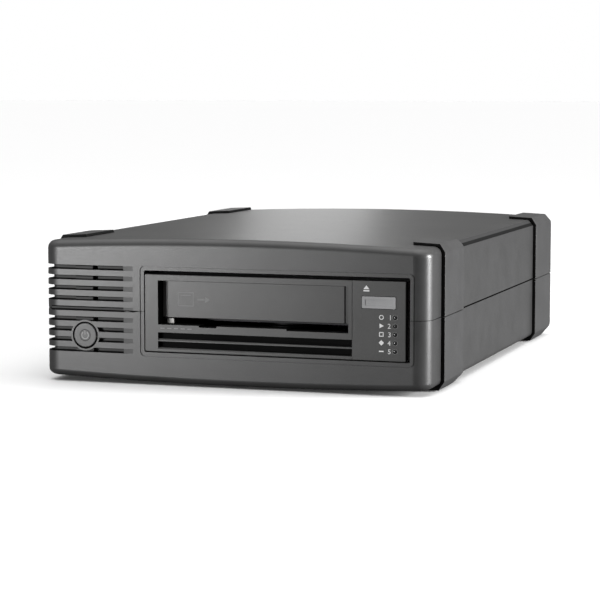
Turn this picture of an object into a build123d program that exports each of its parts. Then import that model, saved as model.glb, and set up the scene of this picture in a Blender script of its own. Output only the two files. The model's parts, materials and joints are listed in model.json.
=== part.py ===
from build123d import *
import math
import os

# Desktop data tape drive: a crowned two-part case round a half-height drive.
# Millimetres. Front faces -Y, X to the right, Z up. The origin is the centre of
# the box round the object, at the height of the surface it stands on.

# Cartridge that the drive takes
cartridge_length = 102.0
cartridge_width = 105.4
cartridge_height = 21.5

# The drive's mouth and outline, round the cartridge
mouth_side_gap = 0.9
mouth_left_margin = 7.65
mouth_right_margin = 31.15
mouth_height_gap = 2.4
mouth_lift = 14.8
mouth_drop = 3.2
cartridge_start = 8.8
reel_radius = 41.0
reel_gap = 13.2
reel_back = 4.0
mouth_width = cartridge_width + 2 * mouth_side_gap
mouth_height = cartridge_height + mouth_height_gap
drive_width = mouth_left_margin + mouth_width + mouth_right_margin
drive_height = mouth_lift + mouth_height + mouth_drop
drive_depth = cartridge_start + cartridge_length + reel_gap + 2 * reel_radius + reel_back

# Case, round the drive: a bay for the supply to its left and room for the connectors behind
left_bay = 59.7
bay_gap_left = 0.4
right_margin = 12.6
rear_room = 84.5
panel_inset = 4.0
case_half_width = (left_bay + bay_gap_left + drive_width + right_margin) / 2
case_depth = drive_depth + rear_room + panel_inset
split_z = 40.0
crown_top = 39.8
crown_top_radius = 2060.0
crown_bottom = 38.9
crown_bottom_radius = 2650.0
top_chamfer_x = 3.05
top_chamfer_drop = 6.1
chamfer_lead = 2.0
case_corner_radius = 9.0
rear_corner_radius = 5.0
top_edge_radius = 4.4
bottom_edge_radius = 3.5
case_wall = 2.5
front_wall = 5.0
seam_height = 0.3
seam_depth = 0.6
side_seam_height = 0.9
side_seam_depth = 1.6

# Corner guards, raised from the case
guard_side = 2.1
guard_top = 1.6
guard_foot = 39.4
guard_chamfer_x = 2.95
guard_chamfer_drop = 7.4
foot_chamfer = (3.35, 4.9)
front_guard_start = 24.2
chamfer_start = front_guard_start + chamfer_lead
front_guard_length = 40.8
rear_guard_length = 46.7
pad_width = 15.5
pad_slope = 4.5
foot_slope = (9.0, 3.6)
rear_slope = (7.4, 6.2)
trim_inset = 1.2

# Rubber feet
foot_pad_length = 24.0
foot_pad_width = 9.0
foot_pad_height = 1.6
foot_pad_sunk = 1.0
foot_pad_inset = 0.5
foot_pad_corner = 1.5

# Grille
slot_count = 9
slot_pitch = 5.63
slot_height = 2.5
grille_lift = 0.4
grille_share = 0.7915
fade_share = 0.0988
fade_depth = 1.0
slot_depth = 3.2
slot_side_depth = 4.2
slot_side_reach = 16.0
slot_corner = 2.5
column_start_share = 0.3224
column_share = 0.1692
column_depth = 1.0
air_share = 0.0352
blind_slot_depth = 1.0
grille_backing = 2.6

# Power button
button_share = 0.4179
button_drop = 14.2
button_radius = 6.75
button_gap = 0.7
collar_wall = 0.95
collar_length = 9.0
button_travel = 1.2
button_head = 4.0
button_stem_radius = 2.0
button_crown = 0.25
switch_depth = 18.0

# Drive bay opening
bay_gap_right = 2.25
bay_gap_top = 2.0
bay_gap_bottom = 0.5
bay_corner = 1.0
lip_width = 1.9
groove_width = 0.5
groove_depth = 0.6

# Drive mechanism, half height
drive_drop = 0.65
plate_thickness = 4.0
base_wall = 2.0
cover_thickness = 0.8
base_floor_lift = 4.2
base_floor = 2.0
base_setback = 8.5
cover_slots = 6
cover_slot_pitch = 16.0
cover_slot_width = 6.0
cover_slot_ends = (40.0, 12.0)

# Cartridge mouth in the faceplate
throat_wall = 1.6
lip_notch_depth = 0.9
lip_notches = ((-30.0, -20.0), (19.5, 53.6))
vent_spans = ((7.2, 10.6), (2.4, 5.8))
vent_bevel = 0.9
vent_depth = 3.2
vent_right_margin = 29.2
vent_left_margin = 7.6
panel_groove = 0.3

# Door
door_recess = 6.0
door_thickness = 1.6
door_side_gap = 0.7
door_panel_width = 100.3
door_panel_proud = 0.7
door_drop = 20.5
hinge_pin_radius = 0.7
hinge_clearance = 0.06
hinge_lift = 0.9
door_swing = 86.0

# Eject button and lights
eject_width = 18.2
eject_height = 6.2
eject_gap = 0.25
eject_travel = 1.0
front_proud = 0.3
eject_right_margin = 5.45
eject_lift = 9.65
eject_dish = (15.0, 3.2, 0.4)
light_count = 5
light_pitch = 4.45
light_radius = 1.1
light_gap = 0.25
light_sunk = 0.25
light_right_margin = 5.75
first_light_drop = 7.6

# Cartridge path
tray_clearance = 0.4
loader_start = 32.0
loader_length = cartridge_length - 28.0
loader_plate = 1.6
loader_travel = 12.0
tray_sheet = 1.0
tray_drop = 4.5
tray_gap = 0.3
running = 0.05

# Loader gear and rack
gear_module = 1.0
gear_teeth = 18
gear_width = 4.0
loader_motor_radius = 9.0
gear_backlash = 0.3
tooth_height = 0.8
tooth_root = 1.2
gear_forward = loader_start + 40.0

# Reels, rollers and head
hub_forward = cartridge_start + cartridge_length / 2 + loader_travel - 0.2
hub_radius = 16.5
hub_motor_radius = 19.5
clutch_teeth = 30
shaft_radius = 2.0
reel_forward = drive_depth - reel_back - reel_radius
reel_core = 14.0
reel_flange = 1.5
reel_height = 17.0
reel_windows = 3
roller_radius = 4.0
roller_height = 14.0
roller_post = 1.5
roller_rest = 0.3
roller_offsets = ((11.25, -37.0), (7.75, -27.2), (7.75, -12.8), (12.25, -3.0))
head_inset = 19.25
head_reel_gap = 7.0
head_forward = reel_forward - 20.0
head_travel = 3.5
head_rod = 1.5
head_rods = (-5.0, 5.0)
head_block = (9.0, 13.0, 9.0)
head_foot = (11.0, 15.0)
screw_offset = 2.0
screw_radius = 1.5
screw_pitch = 1.2

# Brackets and the screws under the case
rear_window = (33.25, 16.75)
bracket_sheet = 1.2
bracket_foot = 7.0
bracket_drop = 10.0
bracket_screw_forward = (35.0, 83.3)
bracket_boss_forward = (45.0, 170.0)
boss_radius = 4.0
boss_bore = 1.6
screw_recess = 8.0
screw_side = (9.35, 6.35)
screw_end = (30.0, 40.0)

# Power supply
supply_side_gap = 2.85
supply_bracket_gap = 0.55
supply_height = 60.0
supply_sheet = 1.0
supply_start = 72.0
supply_rear_gap = 76.5
supply_drop = 33.0
supply_slots = 8
supply_width = (left_bay + bay_gap_left - case_wall - bracket_sheet - bracket_foot
                - supply_side_gap - supply_bracket_gap)
supply_length = case_depth - supply_start - supply_rear_gap

# Rear
panel_sheet = 1.2
grille_rings = 4
grille_hole_radius = 2.3
panel_vents = (9, 4)
panel_vent_pitch = (8.0, 5.0)
fan_size = 60.0
fan_thickness = 15.0
fan_offset = -3.0
fan_screws = 25.0
fan_bore = 28.5
fan_rotor_radius = 27.8
fan_hub_radius = 12.0
fan_blades = 7
inlet_side = 29.35
inlet_cavity = (24.4, 16.5, 16.8)
pin_recess = 3.6
port_side = 47.35
port_pitch = 18.0
panel_screw_side = (25.35, 23.35)
panel_screw_rise = 30.0
board_share = 0.675
harness_gap = 20.0
cable_sheet = 0.8

# Derived places
case_front = -(case_depth + guard_side + front_proud) / 2 + front_proud
case_rear = case_front + case_depth
case_floor = split_z - crown_bottom + case_wall
drive_x = case_half_width - right_margin - drive_width / 2
drive_left = drive_x - drive_width / 2
drive_right = drive_x + drive_width / 2
drive_z = split_z - drive_drop
drive_bottom = drive_z - drive_height / 2
drive_top = drive_z + drive_height / 2
mouth_x = drive_left + mouth_left_margin + mouth_width / 2
mouth_bottom = drive_bottom + mouth_lift
mouth_top = mouth_bottom + mouth_height
floor_top = drive_bottom + base_floor_lift + base_floor
cover_bottom = drive_top - cover_thickness
base_start = case_front + plate_thickness
base_end = case_front + drive_depth
head_x = drive_left + head_inset
reel_x = head_x + head_reel_gap + reel_radius
roller_places = [(drive_left + across, reel_forward + along) for across, along in roller_offsets]
grille_x = -case_half_width + grille_share * left_bay
column_x = -case_half_width + column_start_share * left_bay
button_x = -case_half_width + button_share * left_bay
button_z = split_z - button_drop
supply_x = -case_half_width + case_wall + supply_side_gap + supply_width / 2
inlet_x = -case_half_width + inlet_side
port_x = case_half_width - port_side
fan_x = (inlet_x + port_x) / 2 + fan_offset
screw_places = [(x, y) for x in (-case_half_width + screw_side[0], case_half_width - screw_side[1])
                for y in (case_front + screw_end[0], case_rear - screw_end[1])]
panel_screw_x = (-case_half_width + panel_screw_side[0], case_half_width - panel_screw_side[1])
bracket_boss_y = [case_front + forward for forward in bracket_boss_forward]
collar_radius = button_radius + button_gap + collar_wall
slot_z = [split_z + grille_lift + slot_pitch * (i - (slot_count - 1) / 2) for i in range(slot_count)]
front_guard = (case_front + front_guard_start, case_front + front_guard_start + front_guard_length)
rear_guard = (case_rear + guard_side - rear_guard_length, case_rear + guard_side)
panel_front = case_rear - panel_inset
cartridge_bottom = mouth_bottom + tray_clearance
tray_floor = (cartridge_bottom - tray_sheet, cartridge_bottom)
frame_inner = cartridge_width / 2 + tray_sheet + 2 * tray_gap + 0.3
wide = 2 * (case_half_width + guard_side) + 20
tall = 2 * split_z + 20


def block(x, y, z):
    centre = [(low + high) / 2 for low, high in (x, y, z)]
    return Pos(*centre) * Box(x[1] - x[0], y[1] - y[0], z[1] - z[0])


def around(middle, width):
    return (middle - width / 2, middle + width / 2)


def rod(axis, radius, span, a, b):
    length, middle = span[1] - span[0], (span[0] + span[1]) / 2
    if axis == "z":
        return Pos(a, b, middle) * Cylinder(radius, length)
    if axis == "y":
        return Pos(a, middle, b) * Rot(90, 0, 0) * Cylinder(radius, length)
    return Pos(middle, a, b) * Rot(0, 90, 0) * Cylinder(radius, length)


def tube(axis, outer, inner, span, a, b):
    return rod(axis, outer, span, a, b) - rod(axis, inner, span, a, b)


def prism(axis, outline, span):
    # outline points are (y, z) along x, (x, z) along y and (x, y) along z
    place = {
        "x": lambda u, v: (span[0], u, v),
        "y": lambda u, v: (u, span[0], v),
        "z": lambda u, v: (u, v, span[0]),
    }[axis]
    direction = {"x": (1, 0, 0), "y": (0, 1, 0), "z": (0, 0, 1)}[axis]
    wire = Wire.make_polygon([Vector(*place(u, v)) for u, v in outline], close=True)
    return extrude(Face(wire), span[1] - span[0], dir=Vector(*direction))


def save(name, shape):
    solids = shape.solids()
    export_step(solids[0] if len(solids) == 1 else Compound(solids), f"parts/{name}.step")


def arc_drop(x, radius):
    return radius - math.sqrt(radius * radius - x * x)


def case_section(inset, y):
    # closed crowned outline of the case at one depth, drawn inset from its outside
    half = case_half_width - inset
    top, bottom = split_z + crown_top - inset, split_z - crown_bottom + inset
    shoulder = half - top_chamfer_x
    shoulder_z = top - arc_drop(shoulder, crown_top_radius)
    corner_z = bottom + arc_drop(half, crown_bottom_radius)
    side_z = split_z + crown_top - top_chamfer_drop - 0.4 * inset
    edges = [
        Edge.make_three_point_arc((-shoulder, y, shoulder_z), (0, y, top), (shoulder, y, shoulder_z)),
        Edge.make_line((shoulder, y, shoulder_z), (half, y, side_z)),
        Edge.make_line((half, y, side_z), (half, y, corner_z)),
        Edge.make_three_point_arc((half, y, corner_z), (0, y, bottom), (-half, y, corner_z)),
        Edge.make_line((-half, y, corner_z), (-half, y, side_z)),
        Edge.make_line((-half, y, side_z), (-shoulder, y, shoulder_z)),
    ]
    return Face(Wire(edges))


def edges_at(shape, axis, value):
    return [edge for edge in shape.edges()
            if all(abs(getattr(point, axis) - value) < 0.01 for point in (edge @ 0, edge @ 0.5, edge @ 1))]


def crowned_block():
    half = case_half_width
    top, bottom = split_z + crown_top, split_z - crown_bottom
    top_corner = top - arc_drop(half, crown_top_radius)
    low_corner = bottom + arc_drop(half, crown_bottom_radius)
    y = case_front
    edges = [
        Edge.make_three_point_arc((-half, y, top_corner), (0, y, top), (half, y, top_corner)),
        Edge.make_line((half, y, top_corner), (half, y, low_corner)),
        Edge.make_three_point_arc((half, y, low_corner), (0, y, bottom), (-half, y, low_corner)),
        Edge.make_line((-half, y, low_corner), (-half, y, top_corner)),
    ]
    return extrude(Face(Wire(edges)), case_depth, dir=Vector(0, 1, 0))


def corner_posts(shape, y):
    return [edge for edge in edges_at(shape, "Y", y) if abs((edge @ 0).Z - (edge @ 1).Z) > split_z]


def rim(shape, side):
    # edges all round the top (side 1) or the bottom (side -1)
    return [edge for edge in shape.edges()
            if all(side * ((edge @ t).Z - split_z) > split_z / 2 for t in (0, 0.5, 1))]


def side_chamfer(side):
    # what is cut off along one top side, from under the front guard to the rear
    half = case_half_width
    shoulder = half - top_chamfer_x
    shoulder_z = split_z + crown_top - arc_drop(shoulder, crown_top_radius)
    side_z = split_z + crown_top - top_chamfer_drop
    slope = (shoulder_z - side_z) / top_chamfer_x
    outline = [(side * (shoulder - 1), shoulder_z + slope), (side * (half + 1), side_z - slope),
               (side * (half + 5), side_z - slope), (side * (half + 5), shoulder_z + 9),
               (side * (shoulder - 1), shoulder_z + 9)]
    return prism("y", outline, (case_front + chamfer_start, case_rear + 1))


def case_outside():
    body = crowned_block()
    body = fillet(corner_posts(body, case_front), case_corner_radius)
    body = fillet(corner_posts(body, case_rear), rear_corner_radius)
    body = fillet(rim(body, 1), top_edge_radius)
    body = fillet(rim(body, -1), bottom_edge_radius)
    return body - side_chamfer(-1) - side_chamfer(1)


def guard_outside(span):
    # the raised guards' own outline, with a flat foot
    half = case_half_width + guard_side
    top = split_z + crown_top + guard_top
    shoulder = half - guard_chamfer_x
    shoulder_z = top - arc_drop(shoulder, crown_top_radius)
    side_z = top - guard_chamfer_drop
    foot_z = split_z - guard_foot
    y = span[0]
    points = [(shoulder, shoulder_z), (half, side_z), (half, foot_z + foot_chamfer[1]),
              (half - foot_chamfer[0], foot_z), (-half + foot_chamfer[0], foot_z),
              (-half, foot_z + foot_chamfer[1]), (-half, side_z), (-shoulder, shoulder_z)]
    edges = [Edge.make_three_point_arc((-shoulder, y, shoulder_z), (0, y, top), (shoulder, y, shoulder_z))]
    for (x1, z1), (x2, z2) in zip(points, points[1:]):
        edges.append(Edge.make_line((x1, y, z1), (x2, y, z2)))
    return extrude(Face(Wire(edges)), span[1] - span[0], dir=Vector(0, 1, 0))


def above_split(gap=0.0):
    return block(around(0, wide), (case_front - 20, case_rear + 20), (split_z + gap, split_z + tall))


def below_split(gap=0.0):
    return block(around(0, wide), (case_front - 20, case_rear + 20), (-20, split_z - gap))


def guard_ring(span, end_cuts, outside):
    # two C-shaped bands, left and right, between the pads' inner ends
    inner = (-case_half_width + pad_width, case_half_width - pad_width)
    band = guard_outside(span) - outside - block(inner, (span[0] - 1, span[1] + 1), (-20, tall + split_z))
    for cut in end_cuts:
        band -= cut
    return band


def corner_guards(outside):
    foot_z = split_z - guard_foot
    pad_z = split_z + crown_top + guard_top
    cuts = {}
    y = front_guard[1]
    cuts["front"] = [
        prism("x", [(y - foot_slope[0], foot_z), (y + 1, foot_z + foot_slope[1] * 1.1), (y + 1, foot_z - 9),
                    (y - foot_slope[0], foot_z - 9)], around(0, wide)),
        prism("x", [(y - pad_slope, pad_z - 1.0), (y + 0.5, pad_z - 6.0), (y + 0.5, pad_z + 9),
                    (y - pad_slope, pad_z + 9)], around(0, wide)),
    ]
    y = rear_guard[1]
    foot_start, foot_end = y - rear_slope[0] * 1.6, foot_z + rear_slope[1]
    pad_start, pad_end = y - rear_slope[0], pad_z - rear_slope[1]
    cuts["rear"] = [
        prism("x", [(foot_start, foot_z), (y, foot_end), (y + 5, foot_end), (y + 5, foot_z - 9),
                    (foot_start, foot_z - 9)], around(0, wide)),
        prism("x", [(pad_start, pad_z), (y, pad_end - 2.4), (y + 5, pad_end), (y + 5, pad_z + 9),
                    (pad_start, pad_z + 9)], around(0, wide)),
    ]
    front = guard_ring(front_guard, cuts["front"], outside)
    rear = guard_ring(rear_guard, cuts["rear"], outside)
    both = front + rear
    upper = both & above_split(seam_height / 2)
    lower = both & below_split(seam_height / 2)
    for x, y in foot_places():
        lower -= foot_block(x, y)
    return upper, lower


def foot_places():
    across = case_half_width - pad_width / 2 - foot_pad_inset
    front = front_guard[0] + 3 + foot_pad_length / 2
    rear = rear_guard[0] + 5 + foot_pad_length / 2
    return [(-across, front), (across, front), (-across, rear), (across, rear)]


def foot_block(x, y):
    foot_z = split_z - guard_foot
    bottom = foot_z + foot_pad_sunk - foot_pad_height
    return block(around(x, foot_pad_width), around(y, foot_pad_length), (bottom, foot_z + foot_pad_sunk))


def rubber_feet():
    feet = [fillet(foot_block(x, y).edges().filter_by(Axis.Z), foot_pad_corner) for x, y in foot_places()]
    return Compound([solid for foot in feet for solid in foot.solids()])


def edge_trims(outside):
    # a black strip lies in each top side chamfer
    half = case_half_width
    shoulder = half - top_chamfer_x
    shoulder_z = split_z + crown_top - arc_drop(shoulder, crown_top_radius)
    side_z = split_z + crown_top - top_chamfer_drop
    strips = []
    for side in (-1, 1):
        outline = [(side * shoulder, shoulder_z + 1), (side * (half + 1), shoulder_z + 1),
                   (side * (half + 1), side_z), (side * (half - trim_inset), side_z),
                   (side * shoulder, shoulder_z - trim_inset)]
        strips.append(prism("y", outline, (case_front + chamfer_start, case_rear + 1)) & outside)
    return strips[0] + strips[1]


def case_seam():
    # the dark line where the halves meet, wider along the sides between the guards
    outer = block(around(0, wide), (case_front - 5, case_rear + 5), around(split_z, seam_height))
    inner = block(around(0, 2 * (case_half_width - seam_depth)),
                  (case_front + seam_depth, case_rear - seam_depth), around(split_z, 3 * split_z))
    inner = fillet(corner_posts(inner, case_front + seam_depth), case_corner_radius - seam_depth)
    inner = fillet(corner_posts(inner, case_rear - seam_depth), rear_corner_radius - seam_depth)
    seam = outer - inner
    run = (front_guard[1], rear_guard[0])
    for side in (-1, 1):
        x = sorted((side * (case_half_width + 1), side * (case_half_width - side_seam_depth)))
        seam += block(x, run, around(split_z, side_seam_height))
    return seam


def grille_cutter(z, depth):
    # one slot: faded right end, raised column, air gap and the wrap round the left corner
    y = case_front
    height = around(z, slot_height)
    outer = -case_half_width - 5
    step = min(depth, slot_depth)
    fade_x = grille_x + fade_share * left_bay
    outline = [(outer, y - 5), (fade_x, y - 5), (fade_x, y), (grille_x, y + min(fade_depth, depth)),
               (grille_x, y + step)]
    if depth >= slot_depth:
        column_right = column_x + column_share * left_bay
        gap_right = column_right + air_share * left_bay
        behind = y + front_wall + 1
        outline += [(gap_right, y + step), (gap_right, behind), (column_right, behind),
                    (column_right, y + column_depth), (column_x, y + column_depth), (column_x, y + step)]
    side = -case_half_width + slot_side_depth * depth / slot_depth
    outline += [(side + slot_corner, y + step), (side + 0.3 * slot_corner, y + step + 0.3 * slot_corner),
                (side, y + step + slot_corner), (side, y + slot_side_reach), (outer, y + slot_side_reach)]
    return prism("z", outline, height)


def grille_cuts():
    keep = rod("y", collar_radius, (case_front - 9, case_front + 30), button_x, button_z)
    tool = None
    for i, z in enumerate(slot_z):
        depth = blind_slot_depth if i == slot_count // 2 else slot_depth
        cutter = grille_cutter(z, depth)
        cutter = cutter - keep if abs(z - button_z) < collar_radius + slot_height else cutter
        tool = cutter if tool is None else tool + cutter
    return tool


def bay_outline(grow):
    return ((drive_left - bay_gap_left - grow, drive_right + bay_gap_right + grow),
            (drive_bottom - bay_gap_bottom - grow, drive_top + bay_gap_top + grow))


def bay_opening():
    x, z = bay_outline(0)
    hole = block(x, (case_front - 5, case_front + front_wall + 5), z)
    hole = fillet(hole.edges().filter_by(Axis.Y), bay_corner)
    groove_y = (case_front - 1, case_front + groove_depth)
    x, z = bay_outline(lip_width + groove_width)
    outer = fillet(block(x, groove_y, z).edges().filter_by(Axis.Y), bay_corner + lip_width)
    x, z = bay_outline(lip_width)
    inner = fillet(block(x, groove_y, z).edges().filter_by(Axis.Y), bay_corner + lip_width - groove_width)
    return hole + (outer - inner)


def shells(outside, trims):
    inner = extrude(case_section(case_wall, case_front + front_wall), case_depth, dir=Vector(0, 1, 0))
    backing = block((-case_half_width, -case_half_width + slot_side_depth + grille_backing),
                    (case_front, case_front + slot_side_reach + grille_backing),
                    (slot_z[0] - slot_pitch, slot_z[-1] + slot_pitch))
    top, bottom = split_z + crown_top, split_z - crown_bottom
    inside = [backing]
    inside += [rod("z", boss_radius, (bottom, top), x, y) for x, y in screw_places]
    inside += [rod("z", boss_radius - 0.6, (bottom, bracket_base()), x, y)
               for x in bracket_foot_x() for y in bracket_boss_y]
    inside += supply_posts(bottom, supply_bottom())
    for x, z in panel_screw_places():
        span = (z - 5, top) if z > split_z else (bottom, z + 5)
        inside.append(block(around(x, 10), (panel_front - 6, panel_front), span))
    shell = outside - inner
    for piece in inside:
        shell += piece & outside
    shell -= trims
    shell -= grille_cuts()
    shell -= bay_opening()
    shell -= case_seam()
    shell -= rod("y", collar_radius, (case_front - 5, case_front + front_wall + 5), button_x, button_z)
    for x, y in screw_places:
        shell -= rod("z", boss_bore, (bottom - 5, split_z + 14), x, y)
        shell -= rod("z", boss_bore * 2, (bottom - 5, bottom + screw_recess), x, y)
    for x in bracket_foot_x():
        for y in bracket_boss_y:
            shell -= rod("z", 1.0, (bracket_base() - 3.8, bracket_base() + 1), x, y)
    for x, z in panel_screw_places():
        shell -= rod("y", 1.1, (panel_front - 5, panel_front + 1), x, z)
    return shell & above_split(), shell & below_split()


def panel_screw_places():
    return [(x, split_z + z) for x in panel_screw_x for z in (-panel_screw_rise, panel_screw_rise)]


def shell_screws():
    screws = []
    for x, y in screw_places:
        head_z = split_z - crown_bottom + screw_recess
        head = rod("z", boss_bore * 2 - 0.3, (head_z - 2.2, head_z), x, y)
        slot = block(around(x, 0.8), around(y, 4.2), (head_z - 3, head_z - 1.4))
        cross = block(around(x, 4.2), around(y, 0.8), (head_z - 3, head_z - 1.4))
        screws.append(head + rod("z", boss_bore, (head_z, split_z + 12), x, y) - slot - cross)
    return Compound([solid for screw in screws for solid in screw.solids()])


def drive_base():
    # cast tray: floor, side walls and rear wall, with seats for the motors and posts
    y = (base_start, base_end)
    between = (drive_left + base_wall, drive_right - base_wall)
    body = block((drive_left, drive_right), y, (drive_bottom, cover_bottom))
    body -= block(between, (y[0] - 1, y[1] - base_wall), (floor_top, cover_bottom + 1))
    body -= block(between, (y[0] - 1, y[1] - base_wall), (drive_bottom - 1, floor_top - base_floor))
    body -= block(between, (y[0] - 1, y[0] + base_setback), (drive_bottom - 1, cover_bottom + 1))
    for motor_x, motor_y, radius in motor_seats():
        body -= rod("z", radius, (drive_bottom, floor_top + 1), motor_x, motor_y)
    for forward in bracket_screw_forward:
        for side in (-1, 1):
            span = sorted((drive_x + side * (drive_width / 2 + 1), drive_x + side * (drive_width / 2 - 4)))
            body -= rod("x", 1.5, span, case_front + forward, drive_bottom + bracket_drop)
    for across, along in roller_places:
        low, high = roller_z()
        body += rod("z", roller_post, (floor_top - 0.5, high + 1.0), across, case_front + along)
        body += rod("z", roller_post + 1.5, (floor_top - 0.5, low - roller_rest), across, case_front + along)
    window = (port_x - rear_window[0], port_x + rear_window[1])
    return body - block(window, (y[1] - base_wall - 1, y[1] + 1), (floor_top + 3, floor_top + 15))


def motor_seats():
    return ((mouth_x, case_front + hub_forward, hub_motor_radius + 0.3),
            (reel_x, case_front + reel_forward, hub_motor_radius + 0.3),
            (gear_x(), gear_y(), loader_motor_radius + 0.3))


def roller_z():
    return around(split_z + 1.0, roller_height)


def drive_cover():
    sheet = block((drive_left, drive_right), (base_start, base_end), (cover_bottom, drive_top))
    for i in range(cover_slots):
        x = around(drive_x + cover_slot_pitch * (i - (cover_slots - 1) / 2), cover_slot_width)
        sheet -= block(x, (base_end - cover_slot_ends[0], base_end - cover_slot_ends[1]),
                       (cover_bottom - 1, drive_top + 1))
    return sheet


def gear_x():
    return mouth_x + frame_inner + loader_plate + rack_stand() + gear_module * gear_teeth / 2


def gear_y():
    return case_front + gear_forward


def rack_stand():
    return tooth_root + 1.3


def tooth(base_width, tip_width, height):
    return [(-base_width / 2, -0.4), (base_width / 2, -0.4), (base_width / 2, 0), (tip_width / 2, height),
            (-tip_width / 2, height), (-base_width / 2, 0)]


def loader_gear():
    pitch = math.pi * gear_module
    radius = gear_module * gear_teeth / 2
    root = radius - tooth_root
    width = pitch / 2 - gear_backlash
    outline = tooth(width + 0.75, width - 0.65, tooth_root + tooth_height)
    gear = rod("z", root, gear_span(), 0, 0)
    for i in range(gear_teeth):
        angle = 360 * (i + 0.5) / gear_teeth
        one = prism("z", [(root + v, u) for u, v in outline], gear_span())
        gear += Rot(0, 0, 180 + angle) * one
    gear += rod("z", shaft_radius, (loader_motor_z()[1] - 3, gear_span()[1] + 1.5), 0, 0)
    return Pos(gear_x(), gear_y(), 0) * gear


def gear_span():
    return around(split_z - 2.0, gear_width)


def loader_motor_z():
    return (drive_bottom + 2.0, gear_span()[0] - 1.0)


def loader_motor():
    top = loader_motor_z()[1]
    body = rod("z", loader_motor_radius, loader_motor_z(), gear_x(), gear_y())
    flange = block(around(gear_x(), 12), around(gear_y(), 26), (floor_top, floor_top + 1.2))
    return body + flange - rod("z", shaft_radius + running, (top - 3.2, top + 1), gear_x(), gear_y())


def loader_frame():
    # two side plates joined over the cartridge, with the rack on the right one
    y = (case_front + loader_start, case_front + loader_start + loader_length)
    z = (floor_top + 1.0, mouth_top - 0.6)
    inner, outer = frame_inner, frame_inner + loader_plate
    body = block((mouth_x - outer, mouth_x - inner), y, z) + block((mouth_x + inner, mouth_x + outer), y, z)
    body += block((mouth_x - outer, mouth_x + outer), (y[1] - 9, y[1]), (z[1] - 0.1, z[1] + 1.2))
    pitch = math.pi * gear_module
    width = pitch / 2 - gear_backlash
    pitch_x = mouth_x + outer + rack_stand()
    reach = loader_travel + 6
    start = round(reach / pitch)
    base_x = pitch_x - tooth_root
    rack = (gear_y() - reach - 2, gear_y() + reach * 0.5)
    body += block((mouth_x + outer - 0.1, base_x), rack, gear_span())
    outline = tooth(width + 0.75, width - 0.65, tooth_root + tooth_height)
    for i in range(-start, 3):
        one = prism("z", [(base_x + v, gear_y() + i * pitch + u) for u, v in outline], gear_span())
        body += one
    return body


def cartridge_tray():
    # floor and side flanges that the cartridge lies in, open for the hub over the whole travel
    half = cartridge_width / 2 + tray_gap
    y = (case_front + loader_start + 1, case_front + loader_start + loader_length - 1)
    tray = block(around(mouth_x, 2 * (half + tray_sheet)), y, tray_floor)
    for side in (-1, 1):
        x = sorted((mouth_x + side * half, mouth_x + side * (half + tray_sheet)))
        tray += block(x, y, (tray_floor[0], tray_floor[1] + 9))
    hub_y = case_front + hub_forward
    opening = block(around(mouth_x, 2 * hub_motor_radius + 3), (hub_y - loader_travel - 1, hub_y + 1),
                    (tray_floor[0] - 1, tray_floor[1] + 1))
    for y_end in (hub_y - loader_travel - 1, hub_y + 1):
        opening += rod("z", hub_motor_radius + 1.5, (tray_floor[0] - 1, tray_floor[1] + 1), mouth_x, y_end)
    return tray - opening


def disc_motor(x, y, top):
    body = rod("z", hub_motor_radius, (drive_bottom + 2.2, top), x, y)
    ring = tube("z", hub_motor_radius + 2.5, hub_motor_radius - 1, (floor_top, floor_top + 1.0), x, y)
    bore = rod("z", shaft_radius + running, (drive_bottom + 4.0, top + 1), x, y)
    return body + ring - bore


def hub_motor_top():
    return tray_floor[0] - 4.0


def drive_hub():
    # toothed clutch face on the motor's shaft
    x, y = mouth_x, case_front + hub_forward
    top = tray_floor[0] - 0.5
    hub = rod("z", hub_radius, (hub_motor_top() + 0.4, top - 1.2), 0, 0)
    for i in range(clutch_teeth):
        wedge = prism("z", [(hub_radius - 4, -0.35), (hub_radius - 0.2, -0.7), (hub_radius - 0.2, 0.7),
                            (hub_radius - 4, 0.35)], (top - 1.3, top))
        hub += Rot(0, 0, 360 * i / clutch_teeth) * wedge
    hub += rod("z", 5.0, (top - 1.3, top), 0, 0)
    hub += rod("z", shaft_radius, (drive_bottom + 4.4, hub_motor_top() + 1), 0, 0)
    return Pos(x, y, 0) * hub


def reel_motor_top():
    return split_z + 1.0 - reel_height / 2 - 1.2


def takeup_reel():
    middle = split_z + 1.0
    low, high = around(middle, reel_height)
    reel = rod("z", reel_core, (low, high), 0, 0)
    reel += rod("z", reel_radius, (low, low + reel_flange), 0, 0)
    upper = rod("z", reel_radius, (high - reel_flange, high), 0, 0)
    outline = [(reel_core + 4, -5), (reel_radius - 6, -10), (reel_radius - 6, 10), (reel_core + 4, 5)]
    for i in range(reel_windows):
        window = prism("z", outline, (high - reel_flange - 1, high + 1))
        upper -= Rot(0, 0, 360 * i / reel_windows) * window
    reel += upper
    slot = block((reel_core - 6, reel_core + 1), around(0, 5), (low + reel_flange, high - reel_flange))
    reel -= slot
    reel += rod("z", shaft_radius, (drive_bottom + 4.4, low + 1), 0, 0)
    return Pos(reel_x, case_front + reel_forward, 0) * reel


def guide_roller(place):
    y = case_front + place[1]
    low, high = roller_z()
    roller = rod("z", roller_radius, (low, high), place[0], y)
    roller += rod("z", roller_radius + 0.8, (low, low + 1), place[0], y)
    roller += rod("z", roller_radius + 0.8, (high - 1, high), place[0], y)
    return roller - rod("z", roller_post + running, (low - 1, high + 1), place[0], y)


def head_y():
    return case_front + head_forward


def head_middle():
    return split_z + 1.0


def head_plate_z():
    low = head_middle() + head_travel + head_block[2] / 2 + 1.2
    return (low, low + 1.2)


def screw_x():
    return head_x + screw_offset


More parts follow.
